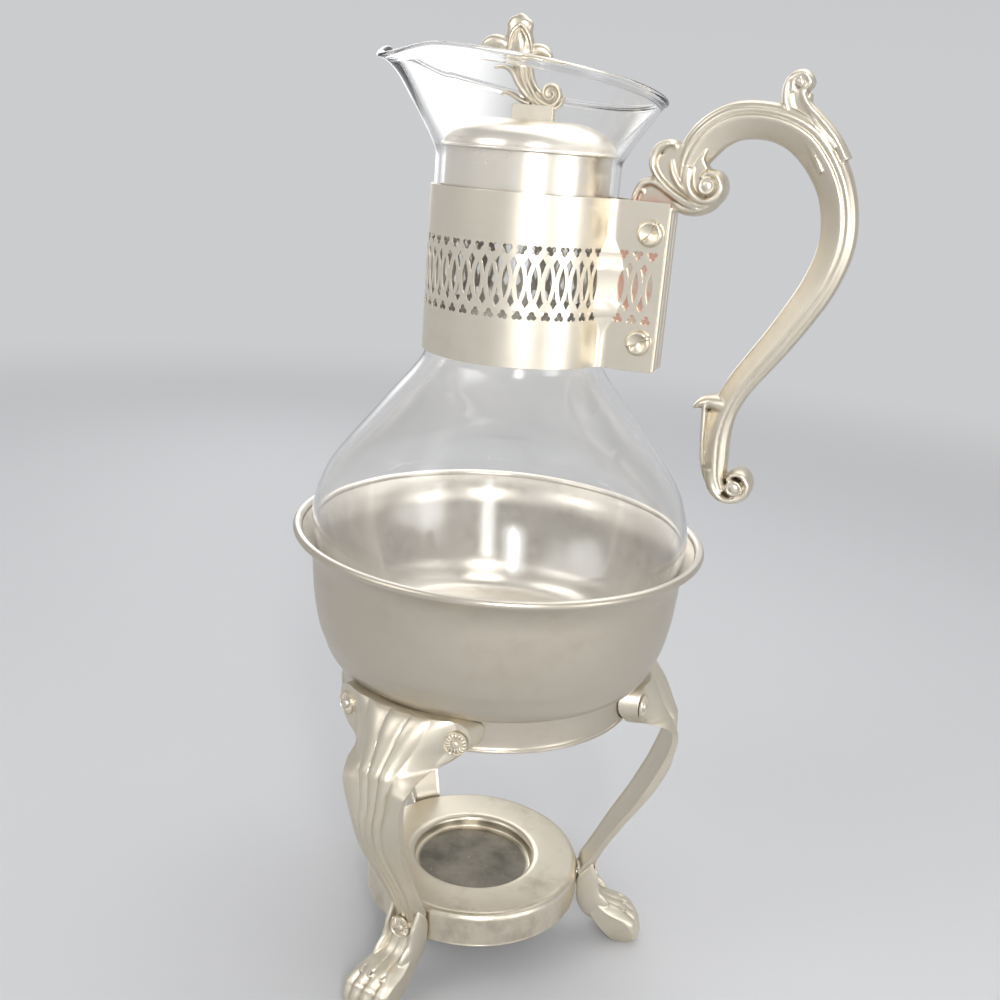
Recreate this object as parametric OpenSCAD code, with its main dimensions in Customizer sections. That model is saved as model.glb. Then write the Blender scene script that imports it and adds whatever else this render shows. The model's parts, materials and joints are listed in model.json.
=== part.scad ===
/* [Glass carafe] */
// Height of the carafe's base above the floor
carafe_base_z = 130.9; // [129:0.1:133]
// Largest outside radius of the glass body
body_r = 73; // [71.5:0.5:75]
// Outside radius of the straight neck
neck_r = 33.3; // [31:0.1:35]
// Thickness of the glass wall
glass_wall = 2; // [1.6:0.1:2.4]
// Height of the mouth's rim at the axis
mouth_z = 350.5; // [346:0.5:356]
// Mean radius of the mouth's rim
mouth_r = 49.4; // [45:0.2:52]
// Slant of the rim, higher at the pouring lip
mouth_slant = 7; // [0:0.5:10]
// How far the pouring lip stands out from the round rim
lip_reach = 5; // [0:0.5:9]
// How far the end of the pouring lip droops
lip_dip = 4; // [0:0.5:6]
// Turn of the pouring lip from straight opposite the handle
lip_turn = 47; // [0:1:60]

/* [Collar] */
// Height of the collar band
collar_h = 58.8; // [50:0.2:60]
// Height of the collar's lower edge above the floor
collar_z = 253; // [252:0.5:256]
// Thickness of the sheet that the collar is made of
collar_t = 0.9; // [0.6:0.1:1.2]
// Gap between the neck and the collar
collar_gap = 0.3; // [0.2:0.05:0.5]
// Height of the pierced zone
pierced_h = 26; // [20:0.5:28]
// Number of pierced columns round the band
pierced_n = 39; // [30:1:42]
// Radius of the bend where the band turns out into an ear
ear_bend_r = 4; // [3:0.5:5]
// Reach of the ears from the axis
ear_reach = 54.1; // [52:0.5:56]

/* [Handle] */
// Thickness of the bar clamped between the ears
bar_t = 13.8; // [12:0.2:15]
// Half width of the handle's grip at its widest
grip_w = 6.6; // [5.5:0.1:7.5]
// Scale of the grip's thickness
grip_t = 1; // [0.9:0.05:1.1]

/* [Clamp screws] */
// Radius of a clamp screw's shank
clamp_r = 2.1; // [1.8:0.1:2.4]
// Radius of a clamp screw's round head
clamp_head_r = 4.7; // [4:0.1:5]
// Distance of the screws from the collar's axis
clamp_x = 48.5; // [46.5:0.5:49]
// Distance of each screw from the collar's nearer edge
clamp_inset = 10.5; // [9:0.5:11]

/* [Lid] */
// How far the lid's rolled edge stands out past the neck's bore
lid_over = 0.7; // [0.5:0.1:0.9]
// Height of the dome's top above its edge
lid_h = 11.4; // [9:0.2:14]
// Length of the sleeve inside the neck
sleeve_l = 28; // [20:1:40]
// Thickness of the lid's metal
lid_t = 0.8; // [0.6:0.1:1]
// Height of the finial
finial_h = 34.2; // [30:0.2:38]

/* [Bowl] */
// How far the bowl's rim stands out past the glass body
rim_out = 7; // [6.5:0.1:9]
// Thickness of the bowl's metal
bowl_t = 1.2; // [0.8:0.1:1.2]
// Radius of the rolled bead
bead_r = 1.65; // [1.3:0.05:2]
// Radius of the foot ring below the bowl
foot_ring_r = 58.4; // [58:0.1:58.8]
// Radius of the opening under the carafe
heat_r = 38; // [30:1:42]

/* [Candle tray] */
// Radius of the tray
tray_r = 45; // [44:0.2:45.4]
// Height of the tray's lower edge above the floor
tray_z = 22.5; // [21:0.5:24]
// Height of the tray
tray_h = 13.9; // [13:0.1:15]
// Thickness of the tray's metal
tray_t = 1; // [0.8:0.1:1.2]
// Radius of the recess that holds the candle
recess_r = 25.05; // [20:0.05:28]
// Depth of the recess
recess_d = 5.3; // [4.5:0.1:7]

/* [Legs] */
// Angle from the handle to the first leg
leg_turn = 18; // [0:1:40]
// Depth of the flutes in a leg
flute_d = 0.8; // [0.4:0.1:1]
// Half width of a leg's wings
wing_w = 31.5; // [30:0.5:33]
// Radius of the rosettes' heads
rosette_r = 4.5; // [4:0.1:4.8]
// Radius of the rosette bolts' shanks
bolt_r = 1.8; // [1.5:0.1:2]

/* [Hidden] */

hole_gap = 0.2;           // between a shank and its hole
seat_gap = 0.3;           // between pieces that rest on each other
$fn = 64;

// ---- shared curves and lofts ----

// a smooth curve through the points p, at t from 0 to len(p) - 1
function curve(p, t) =
    let (n = len(p) - 1, i = min(floor(t), n - 1), u = t - i,
         a = p[max(i - 1, 0)], b = p[i], c = p[i + 1], d = p[min(i + 2, n)])
    0.5 * (2 * b + (c - a) * u + (2 * a - 5 * b + 4 * c - d) * u * u
           + (3 * b - a - 3 * c + d) * u * u * u);

// that curve as a list, with k steps between its points
function smooth_line(p, k) =
    [for (i = [0 : (len(p) - 1) * k]) curve(p, i / k)];

// a line of 2D points moved sideways by d, to its left
function shifted(p, d) =
    [for (i = [0 : len(p) - 1])
        let (a = p[max(i - 1, 0)], b = p[min(i + 1, len(p) - 1)], v = (b - a) / norm(b - a))
        p[i] + d * [-v[1], v[0]]];

function reversed(p) = [for (i = [len(p) - 1 : -1 : 0]) p[i]];

function flattened(l) = [for (a = l) each a];

function middle(p) = [for (k = [0 : 2]) [for (q = p) q[k]] * [for (q = p) 1] / len(p)];

// a closed solid through rings of equal length, closed at both ends
module loft(rings) {
    m = len(rings[0]);
    n = len(rings);
    points = concat(flattened(rings), [middle(rings[0]), middle(rings[n - 1])]);
    sides = [for (i = [0 : n - 2]) for (j = [0 : m - 1])
        let (a = i * m + j, b = i * m + (j + 1) % m)
        each [[a, b + m, b], [a, a + m, b + m]]];
    ends = [for (j = [0 : m - 1])
        each [[n * m, j, (j + 1) % m],
              [n * m + 1, (n - 1) * m + (j + 1) % m, (n - 1) * m + j]]];
    polyhedron(points = points, faces = concat(sides, ends));
}

// ---- carafe ----

flare_z = collar_z + collar_h + 10.2;           // where the neck turns out into the mouth
neck_top_z = collar_z + collar_h * 0.8;         // the round neck, up to behind the collar
neck_in_r = neck_r - glass_wall;
slant = tan(mouth_slant);

// outside of the glass, from the middle of its base to the top of its neck
glass_side = [[0, carafe_base_z + 1], [20, carafe_base_z + 0.8], [32, carafe_base_z + 0.3], [38, carafe_base_z],
    [42, carafe_base_z + 0.4], [46, carafe_base_z + 1.7], [54, carafe_base_z + 7.6], [body_r - 12, carafe_base_z + 16],
    [body_r - 7.2, carafe_base_z + 26], [body_r - 3.4, carafe_base_z + 37],
    [body_r - 1.1, carafe_base_z + 47], [body_r, carafe_base_z + 56],
    [body_r - 1.3, collar_z - 58], [body_r - 5.1, collar_z - 48], [body_r - 12.1, collar_z - 38],
    [body_r - 20, collar_z - 28], [body_r - 27.9, collar_z - 18], [neck_r + 4.6, collar_z - 9.2],
    [neck_r + 1.1, collar_z - 4], [neck_r + 0.1, collar_z - 1.2], [neck_r, collar_z + 2.5]];

module glass_carafe() {
    color([0.85, 0.93, 0.9, 0.35]) {
        glass_body();
        glass_mouth();
    }
}

module glass_body() {
    outer = smooth_line(glass_side, 3);
    inner = shifted(outer, glass_wall);
    rotate_extrude()
        polygon(concat([for (p = outer) [max(p[0], 0), p[1]]], [[neck_r, neck_top_z], [neck_in_r, neck_top_z]],
            reversed([for (p = inner) [p[1] > collar_z - 2 ? neck_in_r : max(p[0], 0), p[1]]])));
}

// the flared mouth: its rim is slanted, and turned out to a pouring lip that droops at its end
lip_a = 20;                                     // half the angle that the lip takes up
rim_bead = 0.7;                                 // how far the rim's melted edge swells on each side
lip_at = 180 + lip_turn;
function lip(a) = let (d = abs(a - lip_at)) d > lip_a ? 0 : pow(cos(d * 90 / lip_a), 2);
function rim_z(a) = mouth_z + mouth_r * slant * cos(a - lip_at);
function rim_r(a) = mouth_r * (1 + 0.55 * slant * cos(a - lip_at));
function swell(t) = rim_bead * ramp(t, 0.82, 0.92);
// the flare's radius grows slowly at first, then as a cone, with the lip near the rim
function mouth_radius(a, t) =
    neck_r + (rim_r(a) - neck_r) * 1.12 * t * t / (t + 0.12) + lip_reach * lip(a) * pow(t, 4);
function mouth_point(a, t, d) =
    [(mouth_radius(a, t) - d) * cos(a), (mouth_radius(a, t) - d) * sin(a),
     flare_z + (rim_z(a) - flare_z) * t - lip_dip * lip(a) * pow(t, 8)];
function neck_point(a, r, z) = [r * cos(a), r * sin(a), z];

module glass_mouth() {
    tuck = glass_wall * 0.2;                    // its lower edge starts inside the neck's wall
    up = [0, 0.17, 0.33, 0.5, 0.67, 0.82, 0.92, 1];
    n = 48;
    turn = [for (k = [0 : n - 1]) k * 360 / n];
    outside = [for (t = up) [for (a = turn) mouth_point(a, t, -swell(t))]];
    inside = [for (t = reversed(up)) [for (a = turn) mouth_point(a, t, glass_wall + swell(t))]];
    ring_loft(concat([[for (a = turn) neck_point(a, neck_r - tuck, neck_top_z - 1)]], outside, inside,
        [[for (a = turn) neck_point(a, neck_in_r + tuck, neck_top_z - 1)]]));
}

// a closed ring solid, whose rings run round the axis and join up, last to first
module ring_loft(rings) {
    m = len(rings[0]);
    n = len(rings);
    sides = [for (i = [0 : n - 1]) for (j = [0 : m - 1])
        let (a = i * m + j, b = i * m + (j + 1) % m, c = ((i + 1) % n) * m + j, d = ((i + 1) % n) * m + (j + 1) % m)
        each [[a, d, b], [a, c, d]]];
    polyhedron(points = flattened(rings), faces = sides);
}

// ---- collar ----

collar_in_r = neck_r + collar_gap;
collar_r = collar_in_r + collar_t;
ear_y = bar_t / 2;                              // inner face of an ear
bend_y = ear_y + collar_t + ear_bend_r;         // centre of the ear's bend
bend_x = sqrt(pow(collar_r + ear_bend_r, 2) - bend_y * bend_y);
bend_a = asin(bend_y / (collar_r + ear_bend_r));
pitch = (360 - 2 * bend_a - 8) / (pierced_n - 1);
pierced_z = collar_z + collar_h / 2;

module collar_band() {
    color([0.77, 0.75, 0.7])
    difference() {
        collar_sheet();
        for (i = [0 : pierced_n - 1])
            rotate([0, 0, bend_a + 4 + i * pitch])
                translate([collar_in_r - 2, 0, pierced_z])
                    pierced_column(collar_t + 4);
        for (s = [-1, 1], j = [0 : 2])
            translate([bend_x + 3.3 + j * 5.1, s * (ear_y - 1), pierced_z])
                rotate([0, 0, s * 90])
                    pierced_column(collar_t + 2);
        for (s = [-1, 1], z = clamp_heights)
            translate([clamp_x, s * (ear_y - 1), z])
                rotate([-90 * s, 0, 0])
                    cylinder(r = clamp_r + hole_gap, h = collar_t + 2);
    }
}

module collar_sheet() {
    translate([0, 0, collar_z])
        linear_extrude(collar_h)
            polygon(concat(sheet_line(0), reversed(sheet_line(collar_t))));
}

// the sheet's outline from above, at the distance d from its inner face: an ear, a bend,
// the band round the neck, a bend and an ear
function sheet_line(d) = concat(
    [[ear_reach, ear_y + d]],
    arc(bend_x, bend_y, ear_bend_r + collar_t - d, 270, 180 + bend_a, 6),
    arc(0, 0, collar_in_r + d, bend_a, 360 - bend_a, 2 * pierced_n + 2),
    arc(bend_x, -bend_y, ear_bend_r + collar_t - d, 180 - bend_a, 90, 6),
    [[ear_reach, -ear_y - d]]);

function arc(x, y, r, from, to, n) =
    [for (i = [0 : n]) let (a = from + (to - from) * i / n) [x + r * cos(a), y + r * sin(a)]];

// one column of the piercing, cut along +X: a trefoil, a kite, a long eye, a kite and a trefoil
module pierced_column(depth) {
    h = pierced_h / 2;
    rotate([90, 0, 90])
        linear_extrude(depth) {
            eye(2.2, h * 0.86);
            for (s = [-1, 1])
                scale([1, s]) {
                    translate([0, h * 0.84])
                        trefoil(0.98);
                    translate([2.57, h * 0.5])
                        kite(2.4, h * 0.5);
                }
        }
}

module eye(w, h) {
    polygon([[0, -h / 2], [w * 0.36, -h * 0.25], [w / 2, 0], [w * 0.36, h * 0.25],
        [0, h / 2], [-w * 0.36, h * 0.25], [-w / 2, 0], [-w * 0.36, -h * 0.25]]);
}

module kite(w, h) {
    polygon([[0, -h * 0.62], [w / 2, h * 0.08], [0, h * 0.38], [-w / 2, h * 0.08]]);
}

module trefoil(r) {
    polygon([[0, -1.9 * r], [1.55 * r, 0.2 * r], [1.3 * r, 1.05 * r], [0.5 * r, 1.1 * r], [0.35 * r, 1.7 * r],
        [-0.35 * r, 1.7 * r], [-0.5 * r, 1.1 * r], [-1.3 * r, 1.05 * r], [-1.55 * r, 0.2 * r]]);
}

clamp_heights = [collar_z + clamp_inset, collar_z + collar_h - clamp_inset];
ear_out_y = ear_y + collar_t;
washer_t = 0.8;
clamp_nut_r = 3.9;
clamp_nut_t = 3.2;
clamp_end = ear_out_y + washer_t + clamp_nut_t + 1;

// two slotted screws with round heads on the near ear
module clamp_screws() {
    color([0.8, 0.79, 0.76])
    for (z = clamp_heights)
        translate([clamp_x, -ear_out_y, z])
            rotate([90, 0, 0])
                slotted_screw(clamp_head_r, 2.6, clamp_r, clamp_end + ear_out_y);
}

// a screw whose head stands on z = 0 and whose shank goes down
module slotted_screw(head_r, head_h, shank_r, shank_l) {
    difference() {
        union() {
            rotate_extrude()
                polygon([[0, 0], [head_r, 0], [head_r, head_h * 0.35], [head_r * 0.92, head_h * 0.65],
                    [head_r * 0.75, head_h * 0.85], [head_r * 0.5, head_h], [0, head_h]]);
            translate([0, 0, -shank_l])
                cylinder(r = shank_r, h = shank_l + 0.5);
        }
        translate([-head_r - 1, -0.55, head_h - 1.1])
            cube([2 * head_r + 2, 1.1, 2]);
    }
}

module clamp_washers() {
    color([0.7, 0.69, 0.66])
    for (z = clamp_heights)
        translate([clamp_x, ear_out_y, z])
            rotate([-90, 0, 0])
                ring(clamp_head_r, clamp_r + hole_gap, washer_t);
}

module clamp_nuts() {
    color([0.7, 0.69, 0.66])
    for (z = clamp_heights)
        translate([clamp_x, ear_out_y + washer_t, z])
            rotate([-90, 0, 0])
                nut(clamp_nut_r, clamp_r + 0.1, clamp_nut_t);
}

module ring(r, hole_r, h) {
    difference() {
        cylinder(r = r, h = h);
        translate([0, 0, -1])
            cylinder(r = hole_r, h = h + 2);
    }
}

module nut(r, hole_r, h) {
    difference() {
        cylinder(r = r, h = h, $fn = 6);
        translate([0, 0, -1])
            cylinder(r = hole_r, h = h + 2);
    }
}

// ---- handle ----

bar_in_x = bend_x + 1;
root_z = collar_z + collar_h - 3;
top_z = collar_z + collar_h;

// along the grip: [distance from the axis, height over the collar's top, thickness]
grip_line = [[60, 15.5, 11], [62.3, 21, 12.6], [70, 27, 12.8], [80.2, 28.9, 12.3], [91.5, 27, 12.4],
    [101.8, 19.5, 12.4], [108.2, 9, 12.3], [110.2, -2.6, 12.2], [108.9, -14.3, 11.4], [104.3, -27, 10.6],
    [97.3, -39.5, 9.8], [90.3, -51, 9.2], [84.4, -61, 8.8], [80.4, -70, 9.6], [78.6, -79.5, 10.8],
    [79.2, -89, 10.2], [82.5, -96.5, 8.4], [87.6, -98.8, 7]];
leaf_line = [[99, 23.5, 13], [93.2, 30, 11], [90.2, 36, 9.6], [90.6, 40.8, 8.8], [92.6, 42, 6]];
inner_thorn_line = [[82, -67, 9], [76.5, -66.6, 5.6], [72, -67.6, 3.4], [69.3, -69.2, 0.8]];
outer_thorn_line = [[92, -43, 7], [95.2, -47, 5], [97.5, -50.2, 1.2]];
upper_curl_line = [[61, 19.5, 13], [56.8, 19, 11], [52.5, 17.3, 9], [50.5, 14, 7.4]];

// the scrolls' curled ends: [distance from the axis, height, radius, share of the grip's width]
volutes = [[66, 4.6, 6.6, 1.08], [87.6, -95.6, 6.8, 0.95], [91.3, 40.8, 4.6, 0.72], [51.5, 14.4, 5.6, 0.98],
    [46.4, 3.6, 5.2, 0.94]];
// the block that carries the scrolls, from the side
root_outline = [[42, -3], [41.6, 4], [46, 8], [48, 15], [53, 19.5], [60, 21], [65, 15], [63, 6],
    [66, -1.4], [60, -3.4], [54, -3]];

// half of the grip's section: [across the thickness, across the width], ridged on its outer side
grip_section = [[-1, 0], [-0.94, 0.22], [-0.62, 0.42], [-0.16, 0.84], [-0.04, 1], [0.16, 1], [0.27, 0.86],
    [0.4, 0.95], [0.56, 0.92], [0.66, 0.74], [0.84, 0.52], [0.96, 0.3], [1, 0]];

module handle() {
    color([0.79, 0.77, 0.72])
    difference() {
        union() {
            clamp_bar();
            sweep(grip_line, grip_w, 2);
            sweep(leaf_line, grip_w * 0.8, 2);
            sweep(inner_thorn_line, grip_w * 0.75, 2);
            sweep(outer_thorn_line, grip_w * 0.6, 2);
            sweep(upper_curl_line, grip_w * 0.95, 2);
            for (v = volutes)
                volute([v[0], top_z + v[1]], v[2], grip_w * v[3]);
        }
        for (z = clamp_heights)
            translate([clamp_x, -bar_t, z])
                rotate([-90, 0, 0])
                    cylinder(r = clamp_r + hole_gap, h = 2 * bar_t);
    }
}

// the flat bar between the ears, and the block that carries the scrolls on it
module clamp_bar() {
    translate([bar_in_x, -bar_t / 2, collar_z + 0.5])
        cube([ear_reach + 0.5 - bar_in_x, bar_t, collar_h - 2]);
    translate([0, grip_w * 0.9, 0])
        rotate([90, 0, 0])
            linear_extrude(grip_w * 1.8)
                translate([0, top_z])
                    polygon(root_outline);
}

// a tapering sweep of the grip's section along a line of [x, height, thickness]
module sweep(line, width, k) {
    p = smooth_line(line, k);
    n = len(p) - 1;
    section = concat(grip_section,
        [for (i = [len(grip_section) - 2 : -1 : 1]) [grip_section[i][0], -grip_section[i][1]]]);
    loft([for (i = [0 : n])
        let (a = p[max(i - 1, 0)], b = p[min(i + 1, n)], v = [b[0] - a[0], b[1] - a[1]], u = v / norm(v),
             o = [-u[1], u[0]], half = p[i][2] * grip_t / 2, w = width * min(1, 0.3 + half / 5))
        [for (q = section)
            [p[i][0] + o[0] * q[0] * half, q[1] * w, top_z + p[i][1] + o[1] * q[0] * half]]]);
}

// a scroll's curled end, round an axis across the handle
module volute(at, r, w) {
    translate([at[0], 0, at[1]])
        rotate([90, 0, 0])
            rotate_extrude()
                volute_half(r, w);
}

module volute_half(r, w) {
    side = [[0, 0.96], [0.2, 0.94], [0.27, 0.76], [0.5, 0.74], [0.6, 0.92], [0.78, 0.9], [0.93, 0.66], [1, 0.34]];
    polygon(concat([for (p = side) [p[0] * r, p[1] * w]], [for (p = reversed(side)) [p[0] * r, -p[1] * w]]));
}

// ---- lid ----

lid_r = neck_in_r + lid_over;
lid_z = flare_z + 3;                            // underside of the lid's rolled edge
dome_top = lid_z + lid_h;
sleeve_r = lid_r - 2.2;
block_l = 14.8;                                 // block under the finial
block_w = 8.4;
block_h = 4.6;

module lid_cap() {
    color([0.72, 0.7, 0.66])
    difference() {
        rotate_extrude() {
            translate([lid_r - 0.7, lid_z + 0.7])
                circle(r = 0.7);
            dome = [[lid_r - 0.7, 0.6], [lid_r - 1.3, 1.8], [lid_r - 2, 3.8], [lid_r - 4, 6.4],
                [lid_r - 8, 8.8], [lid_r - 14, 10.6], [lid_r - 21, lid_h - 0.5], [lid_r - 27, lid_h - 0.1], [0, lid_h]];
            outer = smooth_line([for (p = dome) [p[0], lid_z + p[1]]], 2);
            polygon(concat([for (p = outer) [max(p[0], 0), p[1]]],
                reversed([for (p = shifted(outer, lid_t)) [max(p[0], 0), p[1]]])));
        }
        translate([0, 0, lid_z])
            cylinder(r = bolt_r + hole_gap, h = lid_h + 2);
    }
}

module lid_sleeve() {
    color([0.7, 0.68, 0.64])
    translate([0, 0, lid_z - sleeve_l])
        rotate_extrude() {
            translate([sleeve_r - lid_t, 0])
                square([lid_t, sleeve_l + 1.2]);
            translate([sleeve_r - lid_t / 2, 0])
                circle(r = lid_t * 0.75);
        }
}

drawn_finial_h = 34.2;
finial_turn = 12;                               // of its plane from the handle's
// along the finial's stem: [distance from the axis, height over the dome, thickness]
finial_line = [[2, 5, 5.5], [-0.6, 8.8, 5.8], [-3.4, 14, 6], [-4.2, 18.6, 8.2], [-5.2, 21.5, 9.4], [-6.2, 24, 11],
    [-6.1, 28.6, 9.4], [-6, 31.3, 7], [-6.1, 33, 3.7], [-6.2, 34.1, 0.8]];
finial_curl_line = [[-3, 12, 4.6], [-0.6, 7.6, 4.6], [3.4, 5.2, 4.2], [7.6, 5.6, 3.6], [10, 8.4, 2.8]];
finial_left_line = [[-1.5, 7.5, 3.4], [-5.6, 11.6, 3.2], [-8.4, 15.2, 2.8], [-10.8, 16.6, 2.4], [-14.5, 15.6, 0.8]];
finial_low_line = [[-0.5, 5.2, 2.2], [-4.4, 6.9, 2.2], [-7.6, 8.8, 2.2], [-9.6, 9.2, 1.8], [-11.6, 7.8, 0.6]];
finial_right_line = [[-3, 22, 4], [0.5, 22.6, 4.4], [3, 21.6, 4], [5, 20.4, 2]];
finial_upper_line = [[-8.5, 23, 5], [-12.5, 24, 5.4], [-16, 24.2, 5], [-18.6, 22.6, 3.2], [-20, 21, 1.4]];

module lid_finial() {
    color([0.79, 0.77, 0.72])
    difference() {
        translate([0, 0, dome_top])
            rotate([0, 0, finial_turn]) {
                translate([-block_l / 2, -block_w / 2, 0])
                    cube([block_l, block_w, block_h]);
                scale(finial_h / drawn_finial_h) {
                    finial_sweep(finial_line, 4.2);
                    finial_sweep(finial_curl_line, 3.4);
                    finial_sweep(finial_left_line, 3);
                    finial_sweep(finial_low_line, 3);
                    finial_sweep(finial_right_line, 3.4);
                    finial_sweep(finial_upper_line, 3.4);
                    volute([5.9, 9.1], 4.6, 3.7);
                }
            }
        translate([0, 0, dome_top - 1])
            cylinder(r = bolt_r + 0.05, h = block_h + 2.4);
    }
}

module finial_sweep(line, width) {
    translate([0, 0, -top_z])
        sweep(line, width, 2);
}

finial_washer_z = dome_top - lid_t - 1;

module finial_washer() {
    color([0.7, 0.69, 0.66])
    translate([0, 0, finial_washer_z - 0.6])
        ring(5, bolt_r + hole_gap, 0.8);
}

module finial_screw() {
    color([0.8, 0.79, 0.76])
    translate([0, 0, finial_washer_z - 0.6])
        rotate([180, 0, 0])
            slotted_screw(3.8, 2, bolt_r, block_h + 2.2);
}

// ---- bowl ----

bowl_r = body_r + rim_out;
bowl_floor_z = carafe_base_z - seat_gap - bowl_t;        // underside of the bowl's floor
bead_z = bowl_floor_z + 53.3;
foot_z = bowl_floor_z - 12.6;
lip_r = bowl_r - bead_r - 1;

// outside of the bowl, from the opening in its floor to the rolled rim
bowl_side = [[heat_r, 0], [foot_ring_r - 6, 0], [foot_ring_r, 0.1], [foot_ring_r + 2.6, 0.9], [foot_ring_r + 5, 2.6],
    [foot_ring_r + 7.2, 5.8], [bowl_r - 12.6, 10.6], [bowl_r - 10.8, 15.6], [bowl_r - 8.9, 25.6], [bowl_r - 8, 35.6],
    [bowl_r - 7.5, 42.6], [bowl_r - 5.9, 47.4], [lip_r, 52.2]];
foot_side = [[foot_ring_r, 0.3], [foot_ring_r - 0.2, -5], [foot_ring_r, -10.6], [foot_ring_r + 0.8, -11.8],
    [foot_ring_r + 0.8, -12.6]];

module warmer_bowl() {
    color([0.75, 0.73, 0.68])
    difference() {
        union() {
            outer = raised(smooth_line(bowl_side, 2), bowl_floor_z);
            rotate_extrude()
                polygon(concat(outer, reversed(shifted(outer, bowl_t))));
            round_wire(bowl_r - bead_r, bead_z, bead_r);
            foot = raised(foot_side, bowl_floor_z);
            rotate_extrude()
                polygon(concat(foot, reversed([for (p = foot) [foot_ring_r - bowl_t, p[1]]])));
            round_wire(heat_r, bowl_floor_z + bowl_t / 2, bowl_t * 0.6);
        }
        wing_holes(hole_gap);
    }
}

module round_wire(r, z, wire_r) {
    translate([0, 0, z])
        rotate_extrude()
            translate([r, 0])
                circle(r = wire_r);
}

function raised(p, z) = [for (q = p) [q[0], q[1] + z]];

// the bowl's outside with its foot, grown by the seat gap, to cut the legs' seats
module bowl_seat() {
    outer = raised(shifted(smooth_line(bowl_side, 2), -seat_gap), bowl_floor_z);
    foot = raised([for (p = foot_side) [p[0] + seat_gap, p[1]]], bowl_floor_z);
    high = [for (p = outer) if (p[0] > foot_ring_r + seat_gap + 0.4 && p[1] > bowl_floor_z) p];
    rotate_extrude()
        polygon(concat([[0, foot_z - seat_gap], [foot_ring_r + 0.8 + seat_gap, foot_z - seat_gap]],
            [for (i = [len(foot) - 2 : -1 : 1]) foot[i]], [[foot_ring_r + seat_gap, bowl_floor_z - seat_gap]],
            high, [[lip_r, bead_z + 4], [0, bead_z + 4]]));
}

// ---- candle tray ----

tray_top = tray_z + tray_h;
recess_lip = 3.3;                               // width of the recess's rounded edge
lip_drop = 2.2;                                 // and its drop

module candle_tray() {
    color([0.72, 0.7, 0.64])
    difference() {
        rotate_extrude() {
            edge = 3;
            outer = concat([[tray_r, tray_z]],
                rounded_corner(tray_r - edge, tray_top - edge, edge, edge, 0, 90, 6),
                rounded_corner(recess_r + recess_lip, tray_top - lip_drop, recess_lip, lip_drop, 90, 180, 6),
                [[recess_r, tray_top - recess_d], [0, tray_top - recess_d]]);
            inner = concat([[tray_r - tray_t, tray_z]],
                rounded_corner(tray_r - edge, tray_top - edge, edge - tray_t, edge - tray_t, 0, 90, 6),
                [[recess_r + recess_lip, tray_top - tray_t], [recess_r + tray_t, tray_top - lip_drop - tray_t],
                 [recess_r + tray_t, tray_top - recess_d - tray_t], [0, tray_top - recess_d - tray_t]]);
            polygon(concat(outer, reversed(inner)));
            translate([tray_r - tray_t / 2, tray_z])
                circle(r = tray_t * 0.6);
        }
        ankle_holes(hole_gap);
    }
}

// points on a part of an ellipse
function rounded_corner(x, z, rx, rz, from, to, n) =
    [for (i = [0 : n]) let (a = from + (to - from) * i / n) [x + rx * cos(a), z + rz * sin(a)]];

// ---- legs ----

rosette_z = carafe_base_z - 7.9;
rosette_a = 21.7;                               // angle of a wing's rosette from its leg
wing_r = foot_ring_r + 7;                       // outside of the wings
ankle_z = tray_z + 6.9;
ankle_out = tray_r + 7.6;
leg_angles = [leg_turn, leg_turn - 120, leg_turn + 120];

// up the leg, from the toes: [outer face, its height, inner face, its height, half width, width of the
// fluted part], drawn for a carafe's base at drawn_base_z, and for a tray and a foot ring of the drawn radii
drawn_base_z = 130.9;
drawn_tray_r = 45;
drawn_foot_r = 58.4;
leg_line = [[72.5, 0, 66.5, 0, 7, 8], [75.2, 3.6, 63.4, 1.6, 9.2, 9.6], [74.8, 8.4, 60, 4.6, 10.2, 10.4],
    [71.6, 13, 56.6, 8.2, 10.2, 10.4], [66.4, 16.4, 53.4, 12, 9.5, 9.8], [61, 18.2, 51, 15.8, 8.5, 8.8],
    [56.8, 20.4, 49, 20, 7.5, 7.8], [54, 24.4, 46.4, 24.4, 6.7, 6.9], [52.8, 29.4, 45.2, 29.4, 6.4, 6.4],
    [52.6, 34.6, 45.2, 34.6, 6.5, 6.4], [54.6, 40, 49, 40, 7, 6.9], [57, 46, 52.2, 46, 7.7, 7.5],
    [60.6, 53, 55.8, 53, 8.5, 8.3], [65.4, 61, 60.2, 61, 9.3, 9.1], [70, 68, 64.2, 68, 10, 9.8],
    [74.2, 75, 67.6, 75, 10.6, 10.4], [77.4, 82, 70.8, 82, 11.1, 11], [79.6, 89.5, 73.6, 89.5, 11.7, 11.5],
    [80.7, 96.5, 75.8, 96.5, 12.4, 12.2], [80.7, 103, 76.4, 103, 13.6, 13.2], [80.2, 107, 75.2, 107, 15, 14.4],
    [79.6, 109.6, 72.6, 109.6, 16.2, 15.4], [79, 111.4, 66, 111.4, 17.4, 16.2], [78.2, 113, 58.4, 113, 19, 17],
    [76.2, 118, 57, 118, 25, 19], [74.4, 122, 57, 122, 29.8, 20.4], [72.4, 126, 57, 126, wing_w, 21.6],
    [70, 130, 57, 130, wing_w - 0.6, 22.4], [68, 132.6, 57, 132.6, wing_w - 3.4, 22.6],
    [66.2, 133.8, 57, 133.8, wing_w - 7, 22.6]];

module leg_right() {
    leg(leg_angles[0]);
}

module leg_front() {
    leg(leg_angles[1]);
}

module leg_back() {
    leg(leg_angles[2]);
}

module leg(a) {
    color([0.78, 0.76, 0.71])
    difference() {
        rotate([0, 0, a])
            loft([for (q = smooth_line(leg_line, 2)) leg_ring(q)]);
        bowl_seat();
        translate([0, 0, tray_z - 3])
            cylinder(r = tray_r + seat_gap, h = tray_h + 6);
        wing_holes(hole_gap);
        ankle_holes(hole_gap);
        rosette_seats();
    }
}

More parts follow.
